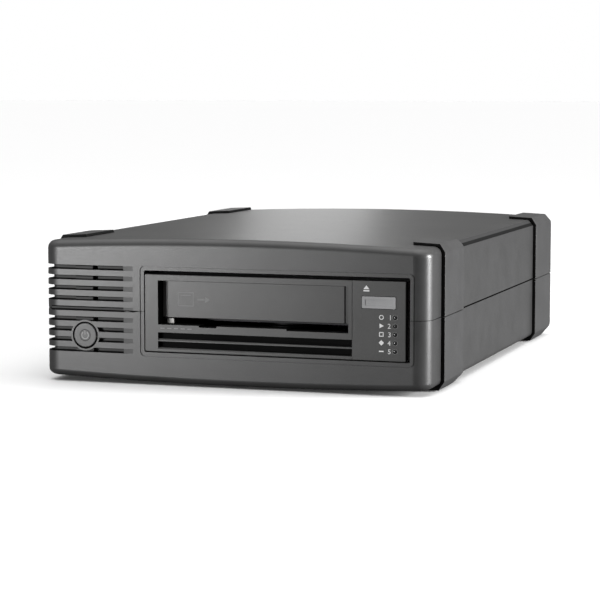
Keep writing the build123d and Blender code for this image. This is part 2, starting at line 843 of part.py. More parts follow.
def head_base():
    # foot on the tray's floor, two guide rods and the motor's bridge
    low, high = head_plate_z()
    x, y = around(head_x, head_foot[0]), around(head_y(), head_foot[1])
    foot = block(x, y, (floor_top, floor_top + 3)) + block(x, y, (low, high))
    for offset in head_rods:
        foot += rod("z", head_rod, (floor_top + 2, low + 0.1), screw_x(), head_y() + offset)
    for span in ((floor_top + 1.0, floor_top + 4), (low - 1, high + 1)):
        foot -= rod("z", screw_radius + running, span, screw_x(), head_y())
    return foot


def head_carriage():
    x, y, z = [around(middle, size) for middle, size in zip((head_x, head_y(), head_middle()), head_block)]
    body = block(x, y, z)
    for offset in head_rods:
        body -= rod("z", head_rod + running, around(head_middle(), 20), screw_x(), head_y() + offset)
    return body - rod("z", screw_radius + 0.1, around(head_middle(), 20), screw_x(), head_y())


def tape_head():
    # rounded read and write bars on the carriage's tape side
    face_x = head_x - head_block[0] / 2
    bars = None
    for offset in (-2.6, 0, 2.6):
        bar = block((face_x - 1.6, face_x), around(head_y() + offset, 1.6), around(head_middle(), 7.0))
        bar = fillet(bar.edges().filter_by(Axis.Z).group_by(Axis.X)[0], 0.7)
        bars = bar if bars is None else bars + bar
    return bars + block((face_x - 0.4, face_x), around(head_y(), 9), around(head_middle(), 8.0))


def lead_screw():
    span = (floor_top + 1.2, head_plate_z()[1] + 2.0)
    screw = rod("z", screw_radius - 0.25, span, 0, 0)
    for i in range(int((head_plate_z()[0] - floor_top - 5) / screw_pitch)):
        screw += rod("z", screw_radius, around(floor_top + 4.5 + screw_pitch * i, 0.5), 0, 0)
    screw += rod("z", screw_radius, (floor_top + 1.2, floor_top + 3.6), 0, 0)
    screw += rod("z", screw_radius, (head_plate_z()[0] - 0.4, head_plate_z()[1] + 1.6), 0, 0)
    return Pos(screw_x(), head_y(), 0) * screw


def head_motor():
    low = head_plate_z()[1]
    body = rod("z", 5.0, (low, cover_bottom - 0.6), screw_x(), head_y())
    return body - rod("z", screw_radius + running, (low - 1, low + 2.6), screw_x(), head_y())


def leader_block():
    x = (drive_left + base_wall + mouth_x - frame_inner - loader_plate) / 2
    y = case_front + 100.0
    body = block(around(x, 2.0), around(y, 9), (floor_top, split_z + 8))
    return body - block((x - 2, x + 0.5), around(y, 3), (split_z - 4, split_z + 6))


def door_axis():
    return (case_front + door_recess + door_thickness / 2, mouth_top + hinge_lift)


def faceplate():
    x = (drive_left, drive_right)
    plate = block(x, (case_front, case_front + plate_thickness), (drive_bottom, drive_top))
    plate = fillet(plate.edges().filter_by(Axis.Y), 0.6)
    plate = fillet(edges_at(plate, "Y", case_front), 0.35)
    mouth = (around(mouth_x, mouth_width), (mouth_bottom, mouth_top))
    # throat walls carry the door's pins behind the plate
    throat_back = door_axis()[0] + 2.6
    throat = block(around(mouth_x, mouth_width + 2 * throat_wall), (case_front + 1, throat_back),
                   (mouth_bottom - throat_wall, drive_top - cover_thickness - 0.4))
    throat -= block(mouth[0], (case_front + plate_thickness, throat_back + 1), (mouth_bottom, drive_top))
    plate += throat
    plate -= block(mouth[0], (case_front - 1, throat_back + 1), mouth[1])
    for side in (-1, 1):
        inner = mouth_x + side * (mouth_width / 2 - 1.0)
        span = sorted((inner, mouth_x + side * (mouth_width / 2 + 1.0)))
        plate -= rod("x", hinge_pin_radius + hinge_clearance, span, *door_axis())
    for left, right in lip_notches:
        span = (mouth_x + left, min(mouth_x + right, mouth[0][1]))
        notch = (mouth_bottom - lip_notch_depth, mouth_bottom + 0.5)
        plate -= block(span, (case_front - 1, throat_back + 1), notch)
    for near, far in vent_spans:
        low, high, y = drive_bottom + near, drive_bottom + far, case_front
        outline = [(y - 1, low - vent_bevel - 1), (y + vent_bevel, low), (y + vent_depth, low),
                   (y + vent_depth, high), (y - 1, high)]
        plate -= prism("x", outline, (x[0] + vent_left_margin, x[1] - vent_right_margin))
    groove_x = x[1] - vent_right_margin
    plate -= block((groove_x, groove_x + panel_groove), (case_front - 1, case_front + panel_groove),
                   (drive_bottom - 1, drive_top + 1))
    through = (case_front - 1, case_front + plate_thickness + 1)
    plate -= block(eject_span()[0], through, eject_span()[1])
    for z in light_heights():
        plate -= rod("y", light_radius + light_gap, through, light_x(), z)
    return plate


def eject_span():
    grow = eject_gap
    x = (drive_right - eject_right_margin - eject_width - grow, drive_right - eject_right_margin + grow)
    return x, around(drive_z + eject_lift, eject_height + 2 * grow)


def light_x():
    return drive_right - light_right_margin


def light_heights():
    first = drive_z + eject_lift - first_light_drop
    return [first - light_pitch * i for i in range(light_count)]


def cartridge_door():
    half = mouth_width / 2 - door_side_gap
    y0, hinge_z = door_axis()
    panel = around(y0, door_thickness)
    bottom = mouth_top - door_drop
    door = block(around(mouth_x, 2 * half), panel, (bottom, hinge_z))
    door += rod("x", door_thickness / 2, around(mouth_x, 2 * half), y0, hinge_z)
    raised = block(around(mouth_x, door_panel_width), (panel[0] - door_panel_proud, panel[0] + 0.1),
                   (bottom, mouth_top - 0.4))
    door += chamfer(edges_at(raised, "Y", panel[0] - door_panel_proud), 0.3)
    pin = around(mouth_x, mouth_width + 1.4)
    return door + rod("x", hinge_pin_radius, pin, y0, hinge_z)


def door_spring():
    # small torsion coil round the hinge line, at the left end behind the throat wall
    y0, hinge_z = door_axis()
    x = mouth_x - mouth_width / 2 - throat_wall
    coil = tube("x", 1.1, 0.75, (x - 2.4, x), y0, hinge_z)
    return coil + block((x - 2.4, x - 1.8), (y0 + 0.8, y0 + 1.1), (hinge_z - 6, hinge_z))


def eject_button():
    x = (drive_right - eject_right_margin - eject_width, drive_right - eject_right_margin)
    z = around(drive_z + eject_lift, eject_height)
    back = case_front + plate_thickness + 1.0
    button = block(x, (case_front - front_proud, back), z)
    button = fillet(button.edges().filter_by(Axis.Y), 0.4)
    dish = eject_dish
    hollow = block(around((x[0] + x[1]) / 2, dish[0]), (case_front - 1, case_front - front_proud + dish[2]),
                   around((z[0] + z[1]) / 2, dish[1]))
    button -= fillet(hollow.edges().filter_by(Axis.Y), 0.5)
    flange = block((x[0] - 0.8, x[1] + 0.8), (back - 0.7, back), (z[0] - 0.8, z[1] + 0.8))
    stem = (back - 0.1, eject_board_y() - eject_travel - 1.3)
    return button + flange + rod("y", 1.2, stem, (x[0] + x[1]) / 2, (z[0] + z[1]) / 2)


def eject_board_y():
    return case_front + plate_thickness + 6.5


def eject_spring():
    x = drive_right - eject_right_margin - eject_width / 2
    back = case_front + plate_thickness + 1.0
    return tube("y", 2.4, 1.7, (back, eject_board_y()), x, drive_z + eject_lift)


def panel_board():
    x = (drive_right - 25.0, drive_right - base_wall - 0.4)
    y = (eject_board_y(), eject_board_y() + 1.2)
    board = block(x, y, (drive_bottom + 3.0, cover_bottom - 0.6))
    eject_x = drive_right - eject_right_margin - eject_width / 2
    board += rod("y", 1.1, (y[0] - 1.0, y[0] + 0.1), eject_x, drive_z + eject_lift)
    for z in light_heights():
        board += block(around(light_x(), 1.6), (y[0] - 0.8, y[0] + 0.1), around(z, 1.2))
    return board


def led_lenses():
    # the lenses on one moulded bar behind the plate
    back = case_front + plate_thickness
    heights = light_heights()
    lenses = block(around(light_x() + 1.0, 1.2), (back + 0.2, back + 0.8), (heights[-1], heights[0]))
    for z in heights:
        lenses += rod("y", light_radius, (case_front + light_sunk, eject_board_y() - 1.0), light_x(), z)
        lenses += rod("y", light_radius + light_gap + 0.5, (back, back + 0.8), light_x(), z)
    return lenses


def power_button():
    span = (case_front - button_crown, case_front + button_head)
    head = rod("y", button_radius, span, button_x, button_z)
    head = fillet(edges_at(head, "Y", span[0]), 0.6)
    skirt = tube("y", button_radius, button_radius - 1.2, (span[1] - 0.1, case_front + collar_length - 1.0),
                 button_x, button_z)
    stem = rod("y", button_stem_radius, (span[1] - 0.1, switch_y() - button_travel - 1.9), button_x, button_z)
    tabs = tube("y", button_radius + button_gap - 0.1, button_radius - 1.0,
                (case_front + collar_length - 2.0, case_front + collar_length - 1.0), button_x, button_z)
    return head + skirt + stem + tabs


def button_collar():
    span = (case_front, case_front + collar_length)
    wall_back = case_front + front_wall
    flange = (wall_back, wall_back + 1.5)
    collar = tube("y", collar_radius + 2.0, collar_radius - 0.1, flange, button_x, button_z)
    for side in (-1, 1):
        leg_x = around(button_x + side * (collar_radius - 0.2), 1.6)
        collar += block(leg_x, (wall_back + 1, switch_y()), around(button_z, 6))
    collar += rod("y", collar_radius, span, button_x, button_z)
    return collar - rod("y", button_radius + button_gap, span, button_x, button_z)


def switch_y():
    return case_front + switch_depth


def button_spring():
    return tube("y", 3.6, 2.8, (case_front + button_head, switch_y()), button_x, button_z)


def switch_board():
    y = (switch_y(), switch_y() + 1.6)
    board = block(around(button_x, 26), y, around(button_z, 22))
    return board + rod("y", 1.6, (y[0] - 1.6, y[0] + 0.1), button_x, button_z)


def bracket_foot_x():
    return (drive_left - bracket_sheet - bracket_foot / 2, drive_right + bracket_sheet + bracket_foot / 2)


def bracket_base():
    return drive_bottom - bracket_drop


def drive_brackets():
    # bent steel angles that hang the drive over the lower shell
    y = (bracket_boss_y[0] - 7, bracket_boss_y[1] + 12)
    pair = None
    for side, hole_x in zip((-1, 1), bracket_foot_x()):
        wall = drive_x + side * drive_width / 2
        x = sorted((wall, wall + side * bracket_sheet))
        foot = sorted((wall, wall + side * bracket_foot))
        angle = block(x, y, (bracket_base(), drive_bottom + 16))
        angle += block(foot, y, (bracket_base(), bracket_base() + bracket_sheet))
        for boss in bracket_boss_y:
            angle -= rod("z", 1.3, (bracket_base() - 1, bracket_base() + 3), hole_x, boss)
        for forward in bracket_screw_forward:
            angle -= rod("x", 1.7, (x[0] - 1, x[1] + 1), case_front + forward, drive_bottom + bracket_drop)
        pair = angle if pair is None else pair + angle
    return pair


def drive_screws():
    screws = []
    low = bracket_base() + bracket_sheet
    for side, foot_x in zip((-1, 1), bracket_foot_x()):
        wall = drive_x + side * (drive_width / 2 + bracket_sheet)
        for forward in bracket_screw_forward:
            y, z = case_front + forward, drive_bottom + bracket_drop
            head = sorted((wall, wall + side * 1.6))
            shank = sorted((wall, wall - side * (bracket_sheet + 3)))
            screws.append(rod("x", 2.8, head, y, z) + rod("x", 1.5, shank, y, z))
        for boss in bracket_boss_y:
            head = rod("z", 2.2, (low, low + 1.5), foot_x, boss)
            screws.append(head + rod("z", 1.0, (low - 4.4, low), foot_x, boss))
    return Compound([solid for screw in screws for solid in screw.solids()])


def main_board():
    z = (drive_bottom + 0.6, drive_bottom + 2.0)
    board = block((drive_left + base_wall + 0.3, drive_right - base_wall - 0.3),
                  (base_start + base_setback + 2, base_end - base_wall - 1), z)
    for x, y, size in ((-25, 60, 14), (60, 100, 22), (35, 45, 12), (-20, 150, 10)):
        board += block(around(drive_x + x, size), around(case_front + y, size), (z[0] - 0.5, z[0] + 0.1))
    for x, y, radius in motor_seats():
        board -= rod("z", 3.0, (z[0] - 2, z[1] + 2), x, y)
    posts = None
    for x in (drive_left + 8, drive_right - 8):
        for y in (base_start + 18, base_end - 12):
            post = rod("z", 2.0, (z[1] - 0.1, floor_top - base_floor), x, y)
            posts = post if posts is None else posts + post
    return board + posts


def supply_bottom():
    return split_z - supply_drop


def supply_posts(low, high):
    posts = []
    for x in around(supply_x, supply_width - 12):
        for y in (case_front + supply_start + 10, case_front + supply_start + supply_length - 10):
            posts.append(rod("z", 3.0, (low, high), x, y))
    return posts


def supply_case():
    x = around(supply_x, supply_width)
    y = (case_front + supply_start, case_front + supply_start + supply_length)
    z = (supply_bottom(), supply_bottom() + supply_height)
    case = block(x, y, z)
    inside = (x[0] + supply_sheet, x[1] - supply_sheet)
    case -= block(inside, (y[0] - 1, y[1] + 1), (z[0] + supply_sheet, z[1] + 1))
    pitch = supply_length / (supply_slots + 2.7)
    for i in range(supply_slots):
        slot_y = around(y[0] + pitch * (i + 1.6), 0.36 * pitch)
        case -= block((x[0] - 1, x[1] + 1), slot_y, (z[0] + supply_height / 2, z[1] - 8))
    return case


def supply_board():
    x = around(supply_x, supply_width - 2 * supply_sheet - 0.8)
    y = (case_front + supply_start + 2, case_front + supply_start + supply_length - 2)
    z = supply_bottom() + supply_sheet
    board = block(x, y, (z + 3.0, z + 4.6))
    for px in around(supply_x, supply_width - 14):
        for py in (y[0] + 8, y[1] - 8):
            board += rod("z", 2.0, (z, z + 3.1), px, py)
    return board


def supply_parts():
    # transformer, capacitors, heat sink and terminal blocks, in shares of the supply's size
    z = supply_bottom() + supply_sheet + 4.6
    y = case_front + supply_start
    across, along, up = supply_width, supply_length, supply_height

    def stand(offset, width, start, finish, height):
        x = around(supply_x + offset * across, width * across)
        return block(x, (y + start * along, y + finish * along), (z, z + height * up))

    transformer = stand(0.09, 0.65, 0.387, 0.613, 0.43)
    parts = [transformer, stand(0, 0.57, 0.88, 0.96, 0.18), stand(0, 0.48, 0.04, 0.087, 0.15)]
    parts.append(rod("z", 0.196 * across, (z, z + 0.57 * up), supply_x - 0.174 * across, y + 0.165 * along))
    parts.append(rod("z", 0.152 * across, (z, z + 0.4 * up), supply_x + 0.24 * across, y + 0.16 * along))
    fins = stand(0, 0.78, 0.667, 0.687, 0.57)
    for i in range(5):
        fins += stand(0.152 * (i - 2), 0.033, 0.686, 0.733, 0.57)
    parts.append(fins)
    return Compound([solid for part in parts for solid in part.solids()])


def panel_outline(clearance):
    face = case_section(case_wall + clearance, panel_front)
    return extrude(face, panel_sheet, dir=Vector(0, 1, 0))


def rear_panel():
    panel = panel_outline(0.3)
    through = (panel_front - 1, panel_front + panel_sheet + 1)
    for ring in range(1, grille_rings + 1):
        count = 6 * ring
        for i in range(count):
            angle = 2 * math.pi * i / count
            across, up = 6 * ring * math.cos(angle), 6 * ring * math.sin(angle)
            panel -= rod("y", grille_hole_radius, through, fan_x + across, split_z + up)
    for x, z in fan_screw_places():
        panel -= rod("y", 1.8, through, x, z)
    panel -= block(around(inlet_x, 27.4), through, around(split_z, 20.0))
    for x in port_places():
        panel -= block(around(x, 16.0), through, around(port_z(), 9.0))
    for row in range(panel_vents[1]):
        for i in range(panel_vents[0]):
            x = port_x + panel_vent_pitch[0] * (i - (panel_vents[0] - 1) / 2)
            z = split_z + 12 + panel_vent_pitch[1] * row
            panel -= block(around(x, 4.5), through, around(z, 2.4))
    for x, z in panel_screw_places():
        panel -= rod("y", 1.3, through, x, z)
    return panel


def panel_screws():
    screws = []
    back = panel_front + panel_sheet
    for x, z in panel_screw_places():
        screw = rod("y", 2.6, (back, back + 1.4), x, z) + rod("y", 1.1, (panel_front - 4, back), x, z)
        screws.append(screw - block(around(x, 0.8), (back + 0.7, back + 2), around(z, 3.4)))
    for x, z in fan_screw_places():
        screw = rod("y", 3.0, (back, back + 1.4), x, z) + rod("y", 1.7, (panel_front - 8, back), x, z)
        screws.append(screw - block(around(x, 0.8), (back + 0.7, back + 2), around(z, 3.4)))
    return Compound([solid for screw in screws for solid in screw.solids()])


def fan_screw_places():
    offsets = (-fan_screws, fan_screws)
    return [(fan_x + across, split_z + up) for across in offsets for up in offsets]


def fan_frame():
    y = (panel_front - fan_thickness, panel_front)
    frame = block(around(fan_x, fan_size), y, around(split_z, fan_size))
    frame = fillet(frame.edges().filter_by(Axis.Y), 3)
    frame -= rod("y", fan_bore, (y[0] - 1, y[1] + 1), fan_x, split_z)
    for x, z in fan_screw_places():
        frame -= rod("y", 1.7, (y[0] - 1, y[1] + 1), x, z)
    seat = rod("y", fan_hub_radius - 1, (y[0], y[0] + 2), fan_x, split_z)
    for i in range(3):
        arm = block((fan_hub_radius - 2, fan_bore + 1), (y[0], y[0] + 2), around(0, 3))
        seat += Pos(fan_x, 0, split_z) * Rot(0, 120 * i + 30, 0) * arm
    seat += rod("y", 1.5, (y[0] + 1, y[0] + 10), fan_x, split_z)
    return frame + seat


def fan_rotor():
    y = (panel_front - fan_thickness + 2.6, panel_front - 1.5)
    hub = rod("y", fan_hub_radius, y, 0, 0)
    for i in range(fan_blades):
        blade = prism("x", [(y[0] + 0.6, -4.5), (y[0] + 2.0, -4.5), (y[1] - 0.4, 4.5), (y[1] - 1.8, 4.5)],
                      (fan_hub_radius - 0.6, fan_rotor_radius))
        blade &= rod("y", fan_rotor_radius, y, 0, 0)
        hub += Rot(0, 360 * i / fan_blades, 0) * blade
    hub -= rod("y", 1.5 + running, (y[0] - 1, y[0] + 8), 0, 0)
    return Pos(fan_x, 0, split_z) * hub


def power_inlet():
    back = panel_front + panel_sheet
    body = block(around(inlet_x, 27.0), (panel_front - 22, back + 0.1), around(split_z, 19.6))
    flange = block(around(inlet_x, 31.0), (back, back + 2.4), around(split_z, 24.0))
    flange = fillet(flange.edges().filter_by(Axis.Y), 1.5)
    body += flange
    width, depth, height = inlet_cavity
    cavity = block(around(inlet_x, width), (back + 2.4 - depth, back + 4), around(split_z, height))
    cavity = chamfer(cavity.edges().filter_by(Axis.Y).group_by(Axis.Z)[-1], 4.0)
    body -= cavity
    for x, z in inlet_pin_places():
        body -= block(around(x, 2.0), (panel_front - 24, back), around(z, 4.0))
    return body


def inlet_pin_places():
    return ((inlet_x - 7.0, split_z - 2.0), (inlet_x + 7.0, split_z - 2.0), (inlet_x, split_z + 3.4))


def inlet_pins():
    back = panel_front + panel_sheet
    span = (panel_front - 28, back - pin_recess)
    pins = [block(around(x, 2.0), span, around(z, 4.0)) for x, z in inlet_pin_places()]
    return Compound([solid for pin in pins for solid in pin.solids()])


def port_places():
    return (port_x - port_pitch / 2, port_x + port_pitch / 2)


def port_z():
    return split_z - 10.0


def board_front():
    return panel_front - 1.0 - board_share * rear_room


def interface_board():
    # carries the ports at the rear and the cable's socket at the front
    z = port_z() - 5.6
    y = board_front()
    length = panel_front - 1.0 - y
    board = block(around(port_x, 56), (y, panel_front - 1.0), (z, z + 1.6))
    board += block(around(port_x + 6, 14), (y + 0.31 * length, y + 0.56 * length), (z + 1.5, z + 2.8))
    board += block(around(port_x, 30), (y + 1, y + 6), (z + 1.5, z + 7.5))
    for x in around(port_x, 48):
        for post_y in (y + 0.14 * length, y + 0.8 * length):
            board += rod("z", 2.4, (case_floor + arc_drop(x + 2.4, crown_bottom_radius), z + 0.1), x, post_y)
    return board


def data_ports():
    z = around(port_z(), 8.0)
    shells_pair = []
    for x in port_places():
        shell = block(around(x, 15.0), (panel_front - 14, panel_front + panel_sheet + 0.6), z)
        shell -= block(around(x, 13.4), (panel_front - 12.5, panel_front + 4), around(port_z(), 6.4))
        shell += block(around(x, 11.0), (panel_front - 13, panel_front - 4.0), around(port_z(), 1.2))
        shells_pair.append(shell)
    return Compound([solid for shell in shells_pair for solid in shell.solids()])


def drive_cable():
    # short flat cable with a plug at each end
    z = port_z() - 1.4
    board_y = board_front() + 1
    low = floor_top + 6
    under = [(base_end - 3, low), (base_end + 4, low), (board_y - 5, z), (board_y - 1, z)]
    over = [(board_y - 1, z), (board_y - 5.2, z), (base_end + 3.8, low), (base_end - 3, low)]
    outline = under + [(y, height + cable_sheet) for y, height in over]
    ribbon = prism("x", outline, around(port_x, 26))
    plug = block(around(port_x, 28), (board_y - 4, board_y), around(z + 0.4, 4.4))
    return ribbon + plug


def power_harness():
    # wires in one sleeve, from the supply's terminals up and across to the drive's rear window
    supply_end = case_front + supply_start + supply_length
    start = Vector(supply_x, supply_end - 0.04 * supply_length, supply_bottom() + supply_sheet + 4.6 + 6)
    bend = base_end + harness_gap
    end_x = port_x - 28.25
    path = FilletPolyline(start, (start.X, bend - 4, start.Z), (end_x, bend, floor_top + 9),
                          (end_x, base_end - base_wall + 0.5, floor_top + 9), radius=[4.4, 4.4])
    return sweep(Plane(origin=path @ 0, z_dir=path % 0) * Circle(2.0), path=path)


def main():
    os.makedirs("parts", exist_ok=True)
    outside = case_outside()
    trims = edge_trims(outside)
    upper, lower = shells(outside, trims)
    upper_guards, lower_guards = corner_guards(outside)
    save("upper_shell", upper)
    save("lower_shell", lower)
    save("upper_corner_guards", upper_guards)
    save("lower_corner_guards", lower_guards)
    save("edge_trims", trims)
    builders = (
        rubber_feet, shell_screws, rear_panel, panel_screws, power_inlet, inlet_pins, fan_frame, fan_rotor,
        power_button, button_collar, button_spring, switch_board, supply_case, supply_board, supply_parts,
        power_harness, faceplate, cartridge_door, door_spring, eject_button, eject_spring, led_lenses,
        panel_board, drive_base, drive_cover, drive_brackets, drive_screws, loader_frame, cartridge_tray,
        loader_gear, loader_motor, drive_hub, takeup_reel, head_base, head_carriage, tape_head, lead_screw,
        head_motor, leader_block, main_board, drive_cable, interface_board, data_ports)
    for build in builders:
        save(build.__name__, build())
    save("hub_motor", disc_motor(mouth_x, case_front + hub_forward, hub_motor_top()))
    save("takeup_motor", disc_motor(reel_x, case_front + reel_forward, reel_motor_top()))
    for number, place in enumerate(roller_places, 1):
        save(f"guide_roller_{number}", guide_roller(place))


main()
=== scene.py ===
import json
import math

import bmesh
import bpy
from mathutils import Matrix, Vector


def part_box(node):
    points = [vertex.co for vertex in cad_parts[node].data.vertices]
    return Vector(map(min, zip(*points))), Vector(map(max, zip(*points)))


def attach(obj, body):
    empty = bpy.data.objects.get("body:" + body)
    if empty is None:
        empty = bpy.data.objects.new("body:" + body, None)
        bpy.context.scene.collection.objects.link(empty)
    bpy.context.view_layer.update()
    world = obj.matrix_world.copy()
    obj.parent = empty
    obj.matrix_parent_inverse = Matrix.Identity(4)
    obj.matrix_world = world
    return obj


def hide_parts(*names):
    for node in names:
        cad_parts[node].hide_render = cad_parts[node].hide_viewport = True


# Desktop data tape drive: the finish of every surface, round the fixed frame.
# Metres, front faces -Y, X to the right, Z up.

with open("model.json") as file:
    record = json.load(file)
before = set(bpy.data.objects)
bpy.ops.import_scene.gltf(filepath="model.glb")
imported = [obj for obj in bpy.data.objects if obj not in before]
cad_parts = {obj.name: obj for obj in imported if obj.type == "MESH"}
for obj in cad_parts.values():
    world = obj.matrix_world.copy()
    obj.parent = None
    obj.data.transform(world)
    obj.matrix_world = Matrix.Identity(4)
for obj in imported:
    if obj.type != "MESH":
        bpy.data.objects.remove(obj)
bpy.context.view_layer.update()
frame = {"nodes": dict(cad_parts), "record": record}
nodes = frame["nodes"]
mm = 0.001

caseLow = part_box("upper_shell")[0]
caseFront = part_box("faceplate")[0][1]
print("frame loaded", len(nodes), "nodes")


# Camera and studio

cameraPlan = {
    "place": (382.5, -1187.55, 161.2),   # mm, in the frame
    "turn": 18.32,                       # degrees to the right of straight ahead
    "tilt": 5.86,                        # degrees downwards
    "focalPixels": 2088.41,
    "framePixels": 600,
    "sensor": 36.0,
}


def addCamera(plan):
    data = bpy.data.cameras.new("photoCamera")
    data.sensor_fit = "HORIZONTAL"
    data.sensor_width = plan["sensor"]
    data.lens = plan["sensor"] * plan["focalPixels"] / plan["framePixels"]
    data.clip_end = 50
    camera = bpy.data.objects.new("photoCamera", data)
    camera.location = Vector(plan["place"]) * mm
    camera.rotation_euler = (math.radians(90 - plan["tilt"]), 0, math.radians(plan["turn"]))
    bpy.context.collection.objects.link(camera)
    bpy.context.scene.camera = camera


studioPlan = {
    "lowSky": 0.14,          # radiance round the horizon
    "highSky": 2.88,         # what the sky gains straight above
    "skyPower": 4.0,         # how close to straight above it is bright
    "paper": 1.0,            # what stands behind the object in the picture
    "floorSize": 40.0,
    "floorTone": 0.93,
    "floorBounce": 0.16,     # the floor's tone as the object sees it, as if on a dark sweep
    "floorRoughness": 0.85,
    "softboxes": {
        "frontLeft": {"place": (-0.54, -1.06, 0.06), "aim": (-0.08, -0.15, 0.03), "size": (0.25, 0.16),
                      "power": 7.5},
        "rearStrip": {"place": (-0.43, 1.30, 0.42), "aim": (0.0, 0.0, 0.08), "size": (0.17, 0.8),
                      "power": 0.66},
        "rightFill": {"place": (1.25, 0.12, 0.22), "aim": (0.12, -0.05, 0.04), "size": (0.4, 0.4),
                      "power": 33.5},
    },
}


def addSoftbox(name, plan):
    data = bpy.data.lights.new(name, "AREA")
    data.shape = "RECTANGLE"
    data.size, data.size_y = plan["size"]
    data.energy = plan["power"]
    light = bpy.data.objects.new(name, data)
    light.location = plan["place"]
    aim = Vector(plan["aim"]) - Vector(plan["place"])
    light.rotation_euler = aim.to_track_quat("-Z", "Y").to_euler()
    light.visible_camera = False
    bpy.context.collection.objects.link(light)


def addSky(plan):
    # bright overhead and dim round the horizon, with plain white paper behind
    world = bpy.data.worlds.new("studioSky")
    world.use_nodes = True
    tree = world.node_tree
    sky = tree.nodes["Background"]
    apart = tree.nodes.new("ShaderNodeSeparateXYZ")
    tree.links.new(tree.nodes.new("ShaderNodeTexCoord").outputs["Generated"], apart.inputs[0])
    up = mathNode(tree, "MAXIMUM", apart.outputs["Z"], 0.0)
    gained = mathNode(tree, "MULTIPLY", mathNode(tree, "POWER", up, plan["skyPower"]), plan["highSky"])
    light = mathNode(tree, "ADD", gained, plan["lowSky"])
    seen = tree.nodes.new("ShaderNodeLightPath").outputs["Is Camera Ray"]
    paper = mathNode(tree, "MULTIPLY", seen, plan["paper"])
    rest = mathNode(tree, "MULTIPLY", mathNode(tree, "SUBTRACT", 1.0, seen), light)
    tree.links.new(mathNode(tree, "ADD", paper, rest), sky.inputs["Strength"])
    sky.inputs["Color"].default_value = (1, 1, 1, 1)
    bpy.context.scene.world = world


def addStudio(plan):
    addSky(plan)
    for name, softbox in plan["softboxes"].items():
        addSoftbox(name + "Light", softbox)
    mesh = bpy.data.meshes.new("studioFloor")
    half = plan["floorSize"] / 2
    corners = [(-half, -half, 0), (half, -half, 0), (half, half, 0), (-half, half, 0)]
    mesh.from_pydata(corners, [], [(0, 1, 2, 3)])
    floor = bpy.data.objects.new("studioFloor", mesh)
    bpy.context.collection.objects.link(floor)
    material = newMaterial("paleFloor")
    shader = material.node_tree.nodes["Principled BSDF"]
    seen = material.node_tree.nodes.new("ShaderNodeLightPath").outputs["Is Camera Ray"]
    tone = mixColours(material.node_tree, seen, (plan["floorBounce"],) * 3, (plan["floorTone"],) * 3)
    material.node_tree.links.new(tone, shader.inputs["Base Color"])
    shader.inputs["Roughness"].default_value = plan["floorRoughness"]
    mesh.materials.append(material)
    bpy.context.scene.view_settings.view_transform = "Standard"
    bpy.context.scene.view_settings.look = "None"


# Shader groups shared by the finishes

def newMaterial(name):
    material = bpy.data.materials.new(name)
    material.use_nodes = True
    return material


def newGroup(name, inputs, outputs):
    group = bpy.data.node_groups.new(name, "ShaderNodeTree")
    for label, kind, value in inputs:
        socket = group.interface.new_socket(label, in_out="INPUT", socket_type=kind)
        socket.default_value = value
    for label, kind in outputs:
        group.interface.new_socket(label, in_out="OUTPUT", socket_type=kind)
    return group, group.nodes.new("NodeGroupInput"), group.nodes.new("NodeGroupOutput")


def mathNode(group, operation, *values):
    node = group.nodes.new("ShaderNodeMath")
    node.operation = operation
    for socket, value in zip(node.inputs, values):
        if isinstance(value, (int, float)):
            socket.default_value = value
        else:
            group.links.new(value, socket)
    return node.outputs[0]


def noiseNode(group, vector, scale, detail=2.0, roughness=0.5):
    node = group.nodes.new("ShaderNodeTexNoise")
    group.links.new(vector, node.inputs["Vector"])
    if isinstance(scale, (int, float)):
        node.inputs["Scale"].default_value = scale
    else:
        group.links.new(scale, node.inputs["Scale"])
    node.inputs["Detail"].default_value = detail
    node.inputs["Roughness"].default_value = roughness
    return node.outputs["Fac"]


def grainGroup():
    # moulded spark texture: a fine pebble with a coarser swell under it
    group, source, result = newGroup(
        "mouldGrain",
        [("Pebbles per Metre", "NodeSocketFloat", 1500.0), ("Swell per Metre", "NodeSocketFloat", 60.0),
         ("Swell Share", "NodeSocketFloat", 0.25)],
        [("Height", "NodeSocketFloat"), ("Mottle", "NodeSocketFloat"), ("Speck", "NodeSocketFloat")])
    place = group.nodes.new("ShaderNodeTexCoord").outputs["Object"]
    pebble = noiseNode(group, place, source.outputs["Pebbles per Metre"], 2.5, 0.6)
    swell = noiseNode(group, place, source.outputs["Swell per Metre"], 3.0, 0.55)
    cells = group.nodes.new("ShaderNodeTexVoronoi")
    group.links.new(place, cells.inputs["Vector"])
    group.links.new(source.outputs["Pebbles per Metre"], cells.inputs["Scale"])
    rough = mathNode(group, "ADD", pebble, mathNode(group, "MULTIPLY", cells.outputs["Distance"], 0.35))
    height = mathNode(group, "ADD", rough, mathNode(group, "MULTIPLY", swell, source.outputs["Swell Share"]))
    group.links.new(height, result.inputs["Height"])
    group.links.new(swell, result.inputs["Mottle"])
    group.links.new(pebble, result.inputs["Speck"])
    return group


def dustGroup():
    # settles on what faces up, in soft patches
    group, source, result = newGroup(
        "dustFall",
        [("Patches per Metre", "NodeSocketFloat", 35.0), ("Cover", "NodeSocketFloat", 0.5)],
        [("Mask", "NodeSocketFloat")])
    geometry = group.nodes.new("ShaderNodeNewGeometry")
    apart = group.nodes.new("ShaderNodeSeparateXYZ")
    group.links.new(geometry.outputs["Normal"], apart.inputs[0])
    upward = mathNode(group, "MAXIMUM", apart.outputs["Z"], 0.0)
    place = group.nodes.new("ShaderNodeTexCoord").outputs["Object"]
    patches = noiseNode(group, place, source.outputs["Patches per Metre"], 4.0, 0.6)
    soft = mathNode(group, "MULTIPLY", upward, mathNode(group, "MULTIPLY", patches, source.outputs["Cover"]))
    group.links.new(soft, result.inputs["Mask"])
    return group


